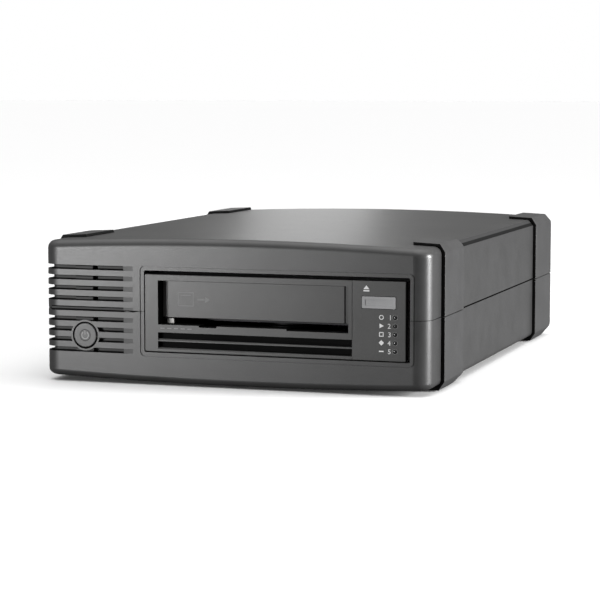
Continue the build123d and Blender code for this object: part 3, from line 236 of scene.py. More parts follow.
def brushGroup():
    # drawn lines of rolled or machined metal, stretched along one axis
    group, source, result = newGroup(
        "drawnLines",
        [("Stretch", "NodeSocketVector", (1.0, 40.0, 40.0)), ("Lines per Metre", "NodeSocketFloat", 60.0)],
        [("Height", "NodeSocketFloat"), ("Tone", "NodeSocketFloat")])
    place = group.nodes.new("ShaderNodeTexCoord").outputs["Object"]
    scaled = group.nodes.new("ShaderNodeVectorMath")
    scaled.operation = "MULTIPLY"
    group.links.new(place, scaled.inputs[0])
    group.links.new(source.outputs["Stretch"], scaled.inputs[1])
    lines = noiseNode(group, scaled.outputs[0], source.outputs["Lines per Metre"], 3.0, 0.6)
    cloud = noiseNode(group, place, 45.0, 3.0, 0.5)
    group.links.new(lines, result.inputs["Height"])
    group.links.new(mathNode(group, "ADD", mathNode(group, "MULTIPLY", lines, 0.6),
                             mathNode(group, "MULTIPLY", cloud, 0.4)), result.inputs["Tone"])
    return group


grain, dust, brushed = grainGroup(), dustGroup(), brushGroup()


def placeGroup(tree, group, values):
    node = tree.nodes.new("ShaderNodeGroup")
    node.node_tree = group
    for label, value in values.items():
        node.inputs[label].default_value = value
    return node


def mixColours(tree, mask, low, high):
    node = tree.nodes.new("ShaderNodeMix")
    node.data_type = "RGBA"
    tree.links.new(mask, node.inputs["Factor"])
    for socket, colour in ((node.inputs[6], low), (node.inputs[7], high)):
        if isinstance(colour, tuple):
            socket.default_value = (*colour, 1)
        else:
            tree.links.new(colour, socket)
    return node.outputs[2]


def rangeNode(tree, value, low, high, fromLow=0.3, fromHigh=0.7):
    node = tree.nodes.new("ShaderNodeMapRange")
    tree.links.new(value, node.inputs["Value"])
    node.inputs["From Min"].default_value = fromLow
    node.inputs["From Max"].default_value = fromHigh
    node.inputs["To Min"].default_value = low
    node.inputs["To Max"].default_value = high
    return node.outputs["Result"]


def bumpNode(tree, height, strength, distance):
    node = tree.nodes.new("ShaderNodeBump")
    node.inputs["Strength"].default_value = strength
    node.inputs["Distance"].default_value = distance
    tree.links.new(height, node.inputs["Height"])
    return node.outputs["Normal"]


plasticPlan = {
    "swell": 55.0,                    # soft patches a metre
    "swellShare": 0.1,
    "speckLift": 1.35,                # how much paler the pebbles' tops are
    "speckCover": 0.35,
    "dustPatches": 30.0,
    "dustColour": (0.45, 0.44, 0.42),
    "glossSpread": (-0.05, 0.06),     # what the grain takes from and adds to the roughness
}


def mouldedPlastic(name, dark, light, roughness, pebbles=2400.0, bump=0.3, depth=0.00007, dustCover=0.05,
                   specular=0.5):
    plan = plasticPlan
    material = newMaterial(name)
    tree = material.node_tree
    shader = tree.nodes["Principled BSDF"]
    texture = placeGroup(tree, grain, {"Pebbles per Metre": pebbles, "Swell per Metre": plan["swell"],
                                       "Swell Share": plan["swellShare"]})
    mottled = mixColours(tree, rangeNode(tree, texture.outputs["Mottle"], 0.0, 1.0), dark, light)
    speck = rangeNode(tree, texture.outputs["Speck"], 0.0, plan["speckCover"], 0.45, 0.75)
    specks = mixColours(tree, speck, mottled, tuple(min(1.0, c * plan["speckLift"]) for c in light))
    fallen = placeGroup(tree, dust, {"Patches per Metre": plan["dustPatches"], "Cover": dustCover})
    final = mixColours(tree, fallen.outputs["Mask"], specks, plan["dustColour"])
    tree.links.new(final, shader.inputs["Base Color"])
    glossy, dull = plan["glossSpread"]
    tree.links.new(rangeNode(tree, texture.outputs["Speck"], roughness + glossy, roughness + dull),
                   shader.inputs["Roughness"])
    tree.links.new(bumpNode(tree, texture.outputs["Height"], bump, depth), shader.inputs["Normal"])
    shader.inputs["Specular IOR Level"].default_value = specular
    return material


def repaintTone(material, makeMask, colour, roughness=1.0):
    # another colour and gloss over the finish's own, in a band of heights
    tree = material.node_tree
    shader = tree.nodes["Principled BSDF"]
    tone = shader.inputs["Base Color"].links[0].from_socket
    apart = tree.nodes.new("ShaderNodeSeparateXYZ")
    tree.links.new(tree.nodes.new("ShaderNodeTexCoord").outputs["Object"], apart.inputs[0])
    mask = makeMask(tree, apart.outputs["Z"])
    tree.links.new(mixColours(tree, mask, tone, colour), shader.inputs["Base Color"])
    own = shader.inputs["Roughness"].links[0].from_socket
    rest = mathNode(tree, "MULTIPLY", own, mathNode(tree, "SUBTRACT", 1.0, mask))
    whole = mathNode(tree, "ADD", rest, mathNode(tree, "MULTIPLY", mask, roughness))
    tree.links.new(whole, shader.inputs["Roughness"])


def slotShadeMask(tree, height):
    # painted shade: a dark line at the foot and head of every slot, where the ribs shade it; the added half
    # turns put a slot's middle at half a turn
    plan = slotPlan
    rise = mathNode(tree, "SUBTRACT", height, plan["middle"] * mm)
    turns = mathNode(tree, "ADD", mathNode(tree, "DIVIDE", rise, plan["pitch"] * mm), 100.5)
    offset = mathNode(tree, "ABSOLUTE", mathNode(tree, "SUBTRACT", mathNode(tree, "FRACT", turns), 0.5))
    edge = (plan["height"] / 2 - plan["line"]) / plan["pitch"]
    return rangeNode(tree, offset, 0.0, 1.0, edge - plan["blur"] / plan["pitch"], edge)


def trimMask(tree, height):
    # a trim's upper part
    top = trimPlan["height"] * mm
    return rangeNode(tree, height, 0.0, 1.0, top - trimPlan["blur"] * mm, top)


def drawnMetal(name, dark, light, roughness, stretch=(1.0, 40.0, 40.0), lines=60.0, bump=0.15, depth=0.00005):
    material = newMaterial(name)
    tree = material.node_tree
    shader = tree.nodes["Principled BSDF"]
    texture = placeGroup(tree, brushed, {"Stretch": stretch, "Lines per Metre": lines})
    tone = rangeNode(tree, texture.outputs["Tone"], 0.0, 1.0, 0.35, 0.65)
    tree.links.new(mixColours(tree, tone, dark, light), shader.inputs["Base Color"])
    shader.inputs["Metallic"].default_value = 1.0
    tree.links.new(rangeNode(tree, texture.outputs["Tone"], roughness - 0.07, roughness + 0.1),
                   shader.inputs["Roughness"])
    tree.links.new(bumpNode(tree, texture.outputs["Height"], bump, depth), shader.inputs["Normal"])
    return material


def printedBoard(name):
    # solder mask with faint tracks in a stepped pattern
    material = newMaterial(name)
    tree = material.node_tree
    shader = tree.nodes["Principled BSDF"]
    place = tree.nodes.new("ShaderNodeTexCoord").outputs["Object"]
    tracks = tree.nodes.new("ShaderNodeTexBrick")
    tree.links.new(place, tracks.inputs["Vector"])
    tracks.inputs["Scale"].default_value = 120.0
    tracks.inputs["Mortar Size"].default_value = 0.06
    tracks.inputs["Color1"].default_value = (0.012, 0.10, 0.045, 1)
    tracks.inputs["Color2"].default_value = (0.015, 0.13, 0.06, 1)
    tracks.inputs["Mortar"].default_value = (0.05, 0.22, 0.10, 1)
    tree.links.new(tracks.outputs["Color"], shader.inputs["Base Color"])
    texture = placeGroup(tree, grain, {"Pebbles per Metre": 900.0, "Swell per Metre": 80.0,
                                       "Swell Share": 0.3})
    tree.links.new(rangeNode(tree, texture.outputs["Mottle"], 0.28, 0.42), shader.inputs["Roughness"])
    tree.links.new(bumpNode(tree, tracks.outputs["Fac"], 0.3, 0.00003), shader.inputs["Normal"])
    return material


def grey(level):
    return (level, level, level)


# mm: as the slots are cut, with the painted shade line at each slot's foot and head and its blur; and where a
# trim's black ends
slotPlan = {"middle": 40.4, "pitch": 5.63, "height": 2.5, "line": 0.5, "blur": 0.25}
trimPlan = {"height": 75.4, "blur": 0.1}
slotShadeBlack = grey(0.001)
trimCharcoal = {"colour": (0.036, 0.036, 0.0364), "roughness": 0.4}
printed = {"pebbles": 2500.0, "bump": 0.05, "dustCover": 0.0}
plastics = {
    "caseCharcoal": {"dark": grey(0.027), "light": (0.037, 0.037, 0.0374), "roughness": 0.37},
    # painted shade: the slots' walls are a darker copy of the case charcoal, for the shade in the recesses
    "slotShadeCharcoal": {"dark": grey(0.016), "light": grey(0.024), "roughness": 0.5, "dustCover": 0.0,
                     "specular": 0.3},
    "trimBlack": {"dark": grey(0.003), "light": grey(0.005), "roughness": 0.6, "dustCover": 0.0,
                  "specular": 0.12},
    "guardCharcoal": {"dark": (0.030, 0.030, 0.0305), "light": (0.041, 0.041, 0.0415), "roughness": 0.40},
    "blackStep": {"dark": grey(0.003), "light": grey(0.005), "roughness": 0.65, "bump": 0.2,
                  "dustCover": 0.0, "specular": 0.12},
    # seamAndShadeBlack: a dark joint at the seam, and painted shade on the slots' floors and ceilings and in
    # the faceplate's openings
    "seamAndShadeBlack": {"dark": grey(0.002), "light": grey(0.004), "roughness": 0.8, "bump": 0.1,
                  "dustCover": 0.0, "specular": 0.1},
    "footRubber": {"dark": grey(0.012), "light": (0.022, 0.022, 0.021), "roughness": 0.75, "pebbles": 900.0},
    "driveCharcoal": {"dark": (0.024, 0.024, 0.0235), "light": (0.032, 0.032, 0.0315), "roughness": 0.38,
                      "pebbles": 1900.0, "bump": 0.25, "depth": 0.00008},
    "doorCharcoal": {"dark": (0.024, 0.024, 0.0235), "light": (0.031, 0.031, 0.0305), "roughness": 0.37,
                     "pebbles": 1900.0, "bump": 0.2, "depth": 0.00008},
    "buttonSilver": {"dark": (0.24, 0.24, 0.245), "light": (0.30, 0.30, 0.305), "roughness": 0.35,
                     "pebbles": 2200.0, "bump": 0.12, "depth": 0.00005},
    "lensClear": {"dark": (0.012, 0.012, 0.013), "light": (0.02, 0.02, 0.021), "roughness": 0.14,
                  "pebbles": 600.0, "bump": 0.02, "dustCover": 0.0},
    "blackPlastic": {"dark": (0.012, 0.012, 0.013), "light": (0.02, 0.02, 0.021), "roughness": 0.42,
                     "pebbles": 1300.0},
    "whitePlastic": {"dark": (0.62, 0.61, 0.58), "light": (0.72, 0.71, 0.68), "roughness": 0.4,
                     "pebbles": 800.0, "bump": 0.08},
    "mixedParts": {"dark": (0.03, 0.028, 0.026), "light": (0.09, 0.08, 0.07), "roughness": 0.4,
                   "pebbles": 500.0, "bump": 0.1},
    "cableSleeve": {"dark": (0.02, 0.02, 0.022), "light": (0.05, 0.05, 0.055), "roughness": 0.65,
                    "pebbles": 700.0, "bump": 0.5, "depth": 0.0003},
    "headFerrite": {"dark": (0.03, 0.028, 0.026), "light": (0.05, 0.047, 0.045), "roughness": 0.16,
                    "pebbles": 400.0, "bump": 0.03},
    "signGrey": {"dark": grey(0.17), "light": grey(0.22), "roughness": 0.45, **printed},
    # rimGreyHighlight: a pale rim round each light, partly a bezel and partly a painted highlight
    "rimGreyHighlight": {"dark": grey(0.16), "light": grey(0.22), "roughness": 0.3, **printed},
    "printWhite": {"dark": grey(0.62), "light": grey(0.72), "roughness": 0.5, **printed},
    "printGrey": {"dark": grey(0.11), "light": grey(0.15), "roughness": 0.45, **printed},
}
metals = {
    "darkSheet": {"dark": (0.03, 0.03, 0.032), "light": (0.05, 0.05, 0.052), "roughness": 0.5},
    "zincSheet": {"dark": (0.50, 0.51, 0.52), "light": (0.66, 0.67, 0.68), "roughness": 0.36},
    "screwSteel": {"dark": (0.40, 0.40, 0.41), "light": (0.58, 0.58, 0.59), "roughness": 0.30,
                   "stretch": (25.0, 25.0, 4.0), "lines": 50.0},
    "castAlloy": {"dark": (0.55, 0.55, 0.56), "light": (0.68, 0.68, 0.69), "roughness": 0.52,
                  "stretch": (1.0, 1.0, 1.0), "lines": 900.0, "bump": 0.4},
    "turnedAlloy": {"dark": (0.62, 0.63, 0.64), "light": (0.78, 0.79, 0.80), "roughness": 0.26,
                    "stretch": (2.0, 2.0, 60.0), "lines": 40.0},
    "springSteel": {"dark": (0.42, 0.42, 0.43), "light": (0.55, 0.55, 0.56), "roughness": 0.25,
                    "stretch": (6.0, 6.0, 6.0), "lines": 120.0},
    "contactBrass": {"dark": (0.62, 0.44, 0.18), "light": (0.80, 0.62, 0.30), "roughness": 0.28,
                     "stretch": (3.0, 20.0, 20.0), "lines": 60.0},
}
finishes = {name: mouldedPlastic(name, **plan) for name, plan in plastics.items()}
finishes.update((name, drawnMetal(name, **plan)) for name, plan in metals.items())
finishes["solderMask"] = printedBoard("solderMask")
# painted shade: a dark line at the foot and head of each slot, on the slot's walls
repaintTone(finishes["slotShadeCharcoal"], slotShadeMask, slotShadeBlack)
repaintTone(finishes["trimBlack"], trimMask, trimCharcoal["colour"], trimCharcoal["roughness"])
print("finishes made", len(finishes))


# Dressed copies of the outer pieces

def linkMesh(name, mesh):
    piece = bpy.data.objects.new(name, mesh)
    bpy.context.collection.objects.link(piece)
    return piece


def evaluatedMesh(piece):
    return bpy.data.meshes.new_from_object(piece.evaluated_get(bpy.context.evaluated_depsgraph_get()))


def settleMesh(piece, name):
    # modifiers become plain mesh
    mesh = evaluatedMesh(piece)
    piece.modifiers.clear()
    piece.data = mesh
    mesh.name = name
    return piece


bevelPlan = {
    "joinWithin": 2e-6,      # metres between corners that are one
    "flatAngle": 0.01,       # degrees up to which faces are one
    "segments": 2,
    "edgeAngle": 28.0,       # degrees from which an edge is softened
    "sharpAngle": 50.0,      # degrees from which an edge is shaded sharp
    "faceWeight": 80,
}


def cleanCopy(nodeName, pieceName):
    plan = bevelPlan
    mesh = bpy.data.meshes.new(pieceName)
    work = bmesh.new()
    work.from_mesh(nodes[nodeName].data)
    bmesh.ops.remove_doubles(work, verts=work.verts, dist=plan["joinWithin"])
    flat = math.radians(plan["flatAngle"])
    bmesh.ops.dissolve_limit(work, angle_limit=flat, verts=work.verts, edges=work.edges)
    work.to_mesh(mesh)
    work.free()
    return linkMesh(pieceName, mesh)


def smoothByAngle(piece, angle):
    for face in piece.data.polygons:
        face.use_smooth = True
    piece.data.set_sharp_from_angle(angle=math.radians(angle))


def softenEdges(piece, width):
    plan = bevelPlan
    bevel = piece.modifiers.new("softEdges", "BEVEL")
    bevel.width = width
    bevel.segments = plan["segments"]
    bevel.limit_method = "ANGLE"
    bevel.angle_limit = math.radians(plan["edgeAngle"])
    bevel.use_clamp_overlap = False
    bevel.miter_outer = "MITER_ARC"
    settleMesh(piece, piece.name)
    smoothByAngle(piece, plan["sharpAngle"])
    weighted = piece.modifiers.new("flatFaces", "WEIGHTED_NORMAL")
    weighted.keep_sharp = True
    weighted.weight = plan["faceWeight"]
    return settleMesh(piece, piece.name)


def bodyOf(nodeName):
    for body, members in frame["record"]["behaviour"]["bodies"].items():
        if nodeName in members:
            return body


def dressNode(nodeName, finish, bevel):
    name = nodeName.title().replace("_", "") + "Skin"
    name = name[0].lower() + name[1:]
    if bevel:
        piece = softenEdges(cleanCopy(nodeName, name), bevel)
    else:
        piece = linkMesh(name, nodes[nodeName].data.copy())
    piece.data.materials.clear()
    piece.data.materials.append(finishes[finish])
    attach(piece, bodyOf(nodeName))
    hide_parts(nodeName)
    return piece


def paintFaces(piece, finish, test):
    piece.data.materials.append(finishes[finish])
    index = len(piece.data.materials) - 1
    for face in piece.data.polygons:
        if test(face.center, face.normal):
            face.material_index = index


# finish and edge width in mm, 0 where the edges stay as cut
dressPlan = {
    "upper_shell": ("caseCharcoal", 0),
    "lower_shell": ("caseCharcoal", 0),
    "upper_corner_guards": ("guardCharcoal", 0.3),
    "lower_corner_guards": ("guardCharcoal", 0.3),
    "edge_trims": ("trimBlack", 0.08),
    "faceplate": ("driveCharcoal", 0),
    "cartridge_door": ("doorCharcoal", 0.15),
    "eject_button": ("buttonSilver", 0),
    "power_button": ("caseCharcoal", 0.15),
    "button_collar": ("caseCharcoal", 0),
    "rear_panel": ("zincSheet", 0.1),
    "power_inlet": ("blackPlastic", 0.2),
    "data_ports": ("screwSteel", 0.1),
    "fan_frame": ("blackPlastic", 0.25),
    "fan_rotor": ("blackPlastic", 0.2),
}
skins = {name: dressNode(name, finish, width * mm) for name, (finish, width) in dressPlan.items()}
print("outer pieces dressed", len(skins))

# Dark parts of the outer pieces: black guard steps, the seam as a dark joint, and painted shade in the slots,
# the faceplate's openings and behind the door
darkPlan = {
    "stepTilt": 0.45,        # a guard's face turned this far to the front is black
    "padInner": 94.4,        # mm from the middle, where the pads' inner ends are
    "plateDepth": 0.6,       # mm behind the faceplate's front, from where its openings' faces are painted black as shade
    "doorBack": 6.2,         # mm behind the faceplate's front, from where the door's faces are painted black as shade in the mouth
    "split": 40.0,           # mm, where the halves meet
    "seamHalf": 0.5,         # mm from the split to the seam's edges
    "grilleRight": 47.5,     # mm from the case's left side to the grille's right end
    "grilleHalf": 26.5,      # mm from the split to the grille's top and bottom
    "slotDepth": 0.3,        # mm behind the front, where the slots' own faces start
    "grilleBack": 12.0,      # mm behind the front, as deep as the slots show
    "level": 0.7,            # how far a face looks up or down to be a slot's floor or ceiling
}


def isBlackStep(center, normal):
    return normal.y < -darkPlan["stepTilt"] or abs(center.x) < darkPlan["padInner"] * mm


def inGrille(center):
    across, up = (center.x - caseLow[0]) / mm, abs(center.z / mm - darkPlan["split"])
    return across < darkPlan["grilleRight"] and up < darkPlan["grilleHalf"]


def isSlotSide(center, normal):
    # the slots' own walls, between the ribs
    depth = (center.y - caseFront) / mm
    turns = (center.z / mm - slotPlan["middle"]) / slotPlan["pitch"]
    inSlot = abs(turns - round(turns)) * slotPlan["pitch"] < slotPlan["height"] / 2
    return inSlot and inGrille(center) and darkPlan["slotDepth"] < depth < darkPlan["grilleBack"]


def isSlotShadeOrSeam(center, normal):
    # painted shade: the slots' floors and ceilings, black where the ribs shade them; and the seam, a dark
    # joint
    level = abs(normal.z) > darkPlan["level"] and center.y < caseFront + darkPlan["grilleBack"] * mm
    return (inGrille(center) and level) or abs(center.z / mm - darkPlan["split"]) < darkPlan["seamHalf"]


# painted shade: the slots' walls darker and their floors and ceilings black; the seam is black as a dark
# joint
for name in ("upper_shell", "lower_shell"):
    paintFaces(skins[name], "slotShadeCharcoal", isSlotSide)
    paintFaces(skins[name], "seamAndShadeBlack", isSlotShadeOrSeam)
for name in ("upper_corner_guards", "lower_corner_guards"):
    paintFaces(skins[name], "blackStep", isBlackStep)
# painted shade: the faceplate's faces behind its front and the door's back faces are black, for the shade in
# the openings and the mouth
for name, finish, depth in (("faceplate", "seamAndShadeBlack", "plateDepth"),
                            ("cartridge_door", "blackPlastic", "doorBack")):
    line = caseFront + darkPlan[depth] * mm
    paintFaces(skins[name], finish, lambda center, normal: center.y > line)

plainFinishes = {
    "inlet_pins": "contactBrass", "button_spring": "springSteel", "switch_board": "solderMask",
    "supply_case": "zincSheet", "supply_board": "solderMask", "supply_parts": "mixedParts",
    "power_harness": "cableSleeve", "door_spring": "springSteel", "eject_spring": "springSteel",
    "led_lenses": "lensClear", "panel_board": "solderMask", "drive_base": "castAlloy",
    "drive_cover": "zincSheet", "drive_brackets": "zincSheet", "drive_screws": "screwSteel",
    "loader_frame": "darkSheet", "cartridge_tray": "darkSheet", "loader_gear": "whitePlastic",
    "loader_motor": "turnedAlloy", "drive_hub": "darkSheet", "takeup_reel": "whitePlastic",
    "head_base": "turnedAlloy", "head_carriage": "turnedAlloy", "tape_head": "headFerrite",
    "lead_screw": "screwSteel", "head_motor": "turnedAlloy", "leader_block": "blackPlastic",
    "main_board": "solderMask", "drive_cable": "cableSleeve", "interface_board": "solderMask",
    "hub_motor": "darkSheet", "takeup_motor": "turnedAlloy", "guide_roller_1": "turnedAlloy",
    "guide_roller_2": "turnedAlloy", "guide_roller_3": "turnedAlloy", "guide_roller_4": "turnedAlloy",
    "rubber_feet": "footRubber", "panel_screws": "screwSteel", "shell_screws": "screwSteel",
}
for nodeName, finish in plainFinishes.items():
    mesh = nodes[nodeName].data
    mesh.materials.clear()
    mesh.materials.append(finishes[finish])


# Repeated pieces grown by Geometry Nodes

def newGrowth(name, inputs):
    tree = bpy.data.node_groups.new(name, "GeometryNodeTree")
    tree.interface.new_socket("Geometry", in_out="INPUT", socket_type="NodeSocketGeometry")
    for label, kind, value in inputs:
        socket = tree.interface.new_socket(label, in_out="INPUT", socket_type=kind)
        if value is not None:
            socket.default_value = value
    tree.interface.new_socket("Geometry", in_out="OUTPUT", socket_type="NodeSocketGeometry")
    return tree, tree.nodes.new("NodeGroupInput").outputs, tree.nodes.new("NodeGroupOutput").inputs


def growNode(tree, kind, inputs, **settings):
    node = tree.nodes.new(kind)
    for key, value in settings.items():
        setattr(node, key, value)
    for key, value in inputs.items():
        socket = node.inputs[key]
        for entry in value if isinstance(value, list) else [value]:
            if isinstance(entry, bpy.types.NodeSocket):
                tree.links.new(entry, socket)
            else:
                socket.default_value = entry
    return node.outputs[0]


def growMath(tree, operation, first, second):
    return growNode(tree, "ShaderNodeMath", {0: first, 1: second}, operation=operation)


def growPlace(tree, x=0.0, y=0.0, z=0.0):
    return growNode(tree, "ShaderNodeCombineXYZ", {"X": x, "Y": y, "Z": z})


def growMoved(tree, geometry, offset):
    return growNode(tree, "GeometryNodeTransform", {"Geometry": geometry, "Translation": offset})


def growFinished(tree, geometry, material):
    solid = growNode(tree, "GeometryNodeRealizeInstances", {"Geometry": geometry})
    return growNode(tree, "GeometryNodeSetMaterial", {"Geometry": solid, "Material": material})


def growPiece(name, places, tree, values, body="case", replaced=None, angle=35):
    mesh = bpy.data.meshes.new(name)
    mesh.from_pydata([Vector(place) for place in places], [], [])
    piece = linkMesh(name, mesh)
    modifier = piece.modifiers.new("growth", "NODES")
    modifier.node_group = tree
    for item in tree.interface.items_tree:
        if item.item_type == "SOCKET" and item.in_out == "INPUT" and item.name in values:
            modifier[item.identifier] = values[item.name]
    settleMesh(piece, name)
    smoothByAngle(piece, angle)
    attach(piece, body)
    if replaced:
        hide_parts(replaced)
    return piece


def screwTree():
    tree, source, result = newGrowth("screwRow", [
        ("Head Radius", "NodeSocketFloat", 0.0026), ("Head Height", "NodeSocketFloat", 0.0014),
        ("Shank Radius", "NodeSocketFloat", 0.0011), ("Shank Length", "NodeSocketFloat", 0.0052),
        ("Cross Width", "NodeSocketFloat", 0.0008), ("Turn", "NodeSocketVector", (0.0, 0.0, 0.0)),
        ("Material", "NodeSocketMaterial", None)])
    height, radius, width = source["Head Height"], source["Head Radius"], source["Cross Width"]
    head = growNode(tree, "GeometryNodeMeshCylinder", {"Vertices": 40, "Radius": radius, "Depth": height})
    head = growMoved(tree, head, growPlace(tree, z=growMath(tree, "MULTIPLY", height, 0.5)))
    arm = growMath(tree, "MULTIPLY", radius, 1.3)
    raised = growPlace(tree, z=height)
    sizes = [growPlace(tree, x, y, height) for x, y in ((arm, width), (width, arm))]
    bars = [growMoved(tree, growNode(tree, "GeometryNodeMeshCube", {"Size": size}), raised) for size in sizes]
    cross = growNode(tree, "GeometryNodeMeshBoolean", {"Mesh 2": bars}, operation="UNION")
    cut = {"Mesh 1": head, "Mesh 2": cross}
    head = growNode(tree, "GeometryNodeMeshBoolean", cut, operation="DIFFERENCE")
    length = source["Shank Length"]
    shank = growNode(tree, "GeometryNodeMeshCylinder",
                     {"Vertices": 20, "Radius": source["Shank Radius"], "Depth": length})
    shank = growMoved(tree, shank, growPlace(tree, z=growMath(tree, "MULTIPLY", length, -0.5)))
    screw = growNode(tree, "GeometryNodeJoinGeometry", {"Geometry": [head, shank]})
    turned = growNode(tree, "FunctionNodeEulerToRotation", {"Euler": source["Turn"]})
    rows = growNode(tree, "GeometryNodeInstanceOnPoints",
                    {"Points": source["Geometry"], "Instance": screw, "Rotation": turned})
    tree.links.new(growFinished(tree, rows, source["Material"]), result["Geometry"])
    return tree


def footTree():
    tree, source, result = newGrowth("ribbedFeet", [
        ("Width", "NodeSocketFloat", 0.009), ("Length", "NodeSocketFloat", 0.024),
        ("Height", "NodeSocketFloat", 0.0016), ("Rib Height", "NodeSocketFloat", 0.0005),
        ("Ribs", "NodeSocketInt", 7), ("Material", "NodeSocketMaterial", None)])
    width, length, ribHeight = source["Width"], source["Length"], source["Rib Height"]
    base = growMath(tree, "SUBTRACT", source["Height"], ribHeight)
    slab = growNode(tree, "GeometryNodeMeshCube", {"Size": growPlace(tree, width, length, base)})
    middle = growMath(tree, "ADD", ribHeight, growMath(tree, "MULTIPLY", base, 0.5))
    slab = growMoved(tree, slab, growPlace(tree, z=middle))
    pitch = growMath(tree, "DIVIDE", length, source["Ribs"])
    rib = growNode(tree, "GeometryNodeMeshCube",
                   {"Size": growPlace(tree, growMath(tree, "MULTIPLY", width, 0.88),
                                      growMath(tree, "MULTIPLY", pitch, 0.55), ribHeight)})
    first = growMath(tree, "MULTIPLY", growMath(tree, "SUBTRACT", pitch, length), 0.5)
    start = growPlace(tree, y=first, z=growMath(tree, "MULTIPLY", ribHeight, 0.5))
    line = growNode(tree, "GeometryNodeMeshLine",
                    {"Count": source["Ribs"], "Offset": growPlace(tree, y=pitch), "Start Location": start})
    ribs = growNode(tree, "GeometryNodeInstanceOnPoints", {"Points": line, "Instance": rib})
    foot = growNode(tree, "GeometryNodeJoinGeometry", {"Geometry": [slab, ribs]})
    feet = growNode(tree, "GeometryNodeInstanceOnPoints", {"Points": source["Geometry"], "Instance": foot})
    tree.links.new(growFinished(tree, feet, source["Material"]), result["Geometry"])
    return tree


def lightTree():
    # a low dome over each lens and a thin rim round it; the rim's pale grey is partly a bezel and partly a
    # painted highlight
    tree, source, result = newGrowth("lightRow", [
        ("Dome Radius", "NodeSocketFloat", 0.0011), ("Dome Height", "NodeSocketFloat", 0.0004),
        ("Rim Radius", "NodeSocketFloat", 0.00135), ("Rim Wire", "NodeSocketFloat", 0.00014),
        ("Lights", "NodeSocketInt", 5), ("Pitch", "NodeSocketFloat", 0.00445),
        ("Dome Material", "NodeSocketMaterial", None), ("Rim Material", "NodeSocketMaterial", None)])
    ball = growNode(tree, "GeometryNodeMeshUVSphere",
                    {"Segments": 24, "Rings": 12, "Radius": source["Dome Radius"]})
    flat = growMath(tree, "DIVIDE", source["Dome Height"], source["Dome Radius"])
    lowered = growPlace(tree, 1.0, flat, 1.0)
    ball = growNode(tree, "GeometryNodeTransform", {"Geometry": ball, "Scale": lowered})
    circle, wire = (growNode(tree, "GeometryNodeCurvePrimitiveCircle",
                             {"Resolution": count, "Radius": source[label]})
                    for count, label in ((40, "Rim Radius"), (10, "Rim Wire")))
    rim = growNode(tree, "GeometryNodeCurveToMesh", {"Curve": circle, "Profile Curve": wire})
    rim = growNode(tree, "GeometryNodeTransform", {"Geometry": rim, "Rotation": (math.pi / 2, 0, 0)})
    line = growNode(tree, "GeometryNodeMeshLine",
                    {"Count": source["Lights"],
                     "Offset": growPlace(tree, z=growMath(tree, "MULTIPLY", source["Pitch"], -1.0))})
    rows = growNode(tree, "GeometryNodeInstanceOnPoints", {"Points": source["Geometry"], "Instance": line})
    rows = growNode(tree, "GeometryNodeRealizeInstances", {"Geometry": rows})
    domes = growNode(tree, "GeometryNodeInstanceOnPoints", {"Points": rows, "Instance": ball})
    rims = growNode(tree, "GeometryNodeInstanceOnPoints", {"Points": rows, "Instance": rim})
    both = growNode(tree, "GeometryNodeJoinGeometry",
                    {"Geometry": [growFinished(tree, domes, source["Dome Material"]),
                                  growFinished(tree, rims, source["Rim Material"])]})
    tree.links.new(both, result["Geometry"])
    return tree


screwRow, ribbedFeet, lightRow = screwTree(), footTree(), lightTree()


def solidCorners(nodeName, count):
    # the low and high corner of each separate solid in a node
    work = bmesh.new()
    work.from_mesh(nodes[nodeName].data)
    bmesh.ops.remove_doubles(work, verts=work.verts, dist=bevelPlan["joinWithin"])
    found, seen = [], set()
    for vertex in work.verts:
        if vertex.index in seen:
            continue
        group, front = [], [vertex]
        seen.add(vertex.index)
        while front:
            current = front.pop()
            group.append(current.co.copy())
            for edge in current.link_edges:
                other = edge.other_vert(current)
                if other.index not in seen:
                    seen.add(other.index)
                    front.append(other)
        low = Vector(min(co[i] for co in group) for i in range(3))
        high = Vector(max(co[i] for co in group) for i in range(3))
        found.append((low, high))
    work.free()
    assert len(found) == count, (nodeName, len(found))
    return found


def sizedGroups(solids):
    # solids of one size together
    groups = {}
    for low, high in solids:
        key = tuple(round((high[i] - low[i]) / mm, 1) for i in range(3))
        groups.setdefault(key, []).append((low, high))
    return groups.values()


# mm; "shanks" gives a shank's radius for each head's radius
screwPlan = {
    "panel_screws": {"count": 8, "axis": 1, "sign": 1, "head": 1.4, "shanks": {2.6: 1.1, 3.0: 1.7},
                     "cross": 0.8, "turn": (-math.pi / 2, 0.3, 0)},
    "shell_screws": {"count": 4, "axis": 2, "sign": -1, "head": 2.2, "shanks": {2.9: 1.6},
                     "cross": 0.8, "turn": (math.pi, 0, 0.4)},
}
for nodeName, plan in screwPlan.items():
    for number, group in enumerate(sizedGroups(solidCorners(nodeName, plan["count"]))):
        axis, head = plan["axis"], plan["head"] * mm
        places = []
        for low, high in group:
            middle = (low + high) / 2
            middle[axis] = high[axis] - head if plan["sign"] > 0 else low[axis] + head
            places.append(middle)
        low, high = group[0]
        radius = (high[0] - low[0]) / 2
        shank = min(plan["shanks"].items(), key=lambda pair: abs(pair[0] * mm - radius))[1]
        name = nodeName.split("_")[0] + "ScrewRow" + str(number + 1)
        growPiece(name, places, screwRow,
                  {"Head Radius": radius, "Head Height": head, "Shank Radius": shank * mm,
                   "Shank Length": high[axis] - low[axis] - head, "Cross Width": plan["cross"] * mm,
                   "Turn": plan["turn"], "Material": finishes["screwSteel"]},
                  replaced=nodeName if number == 0 else None)

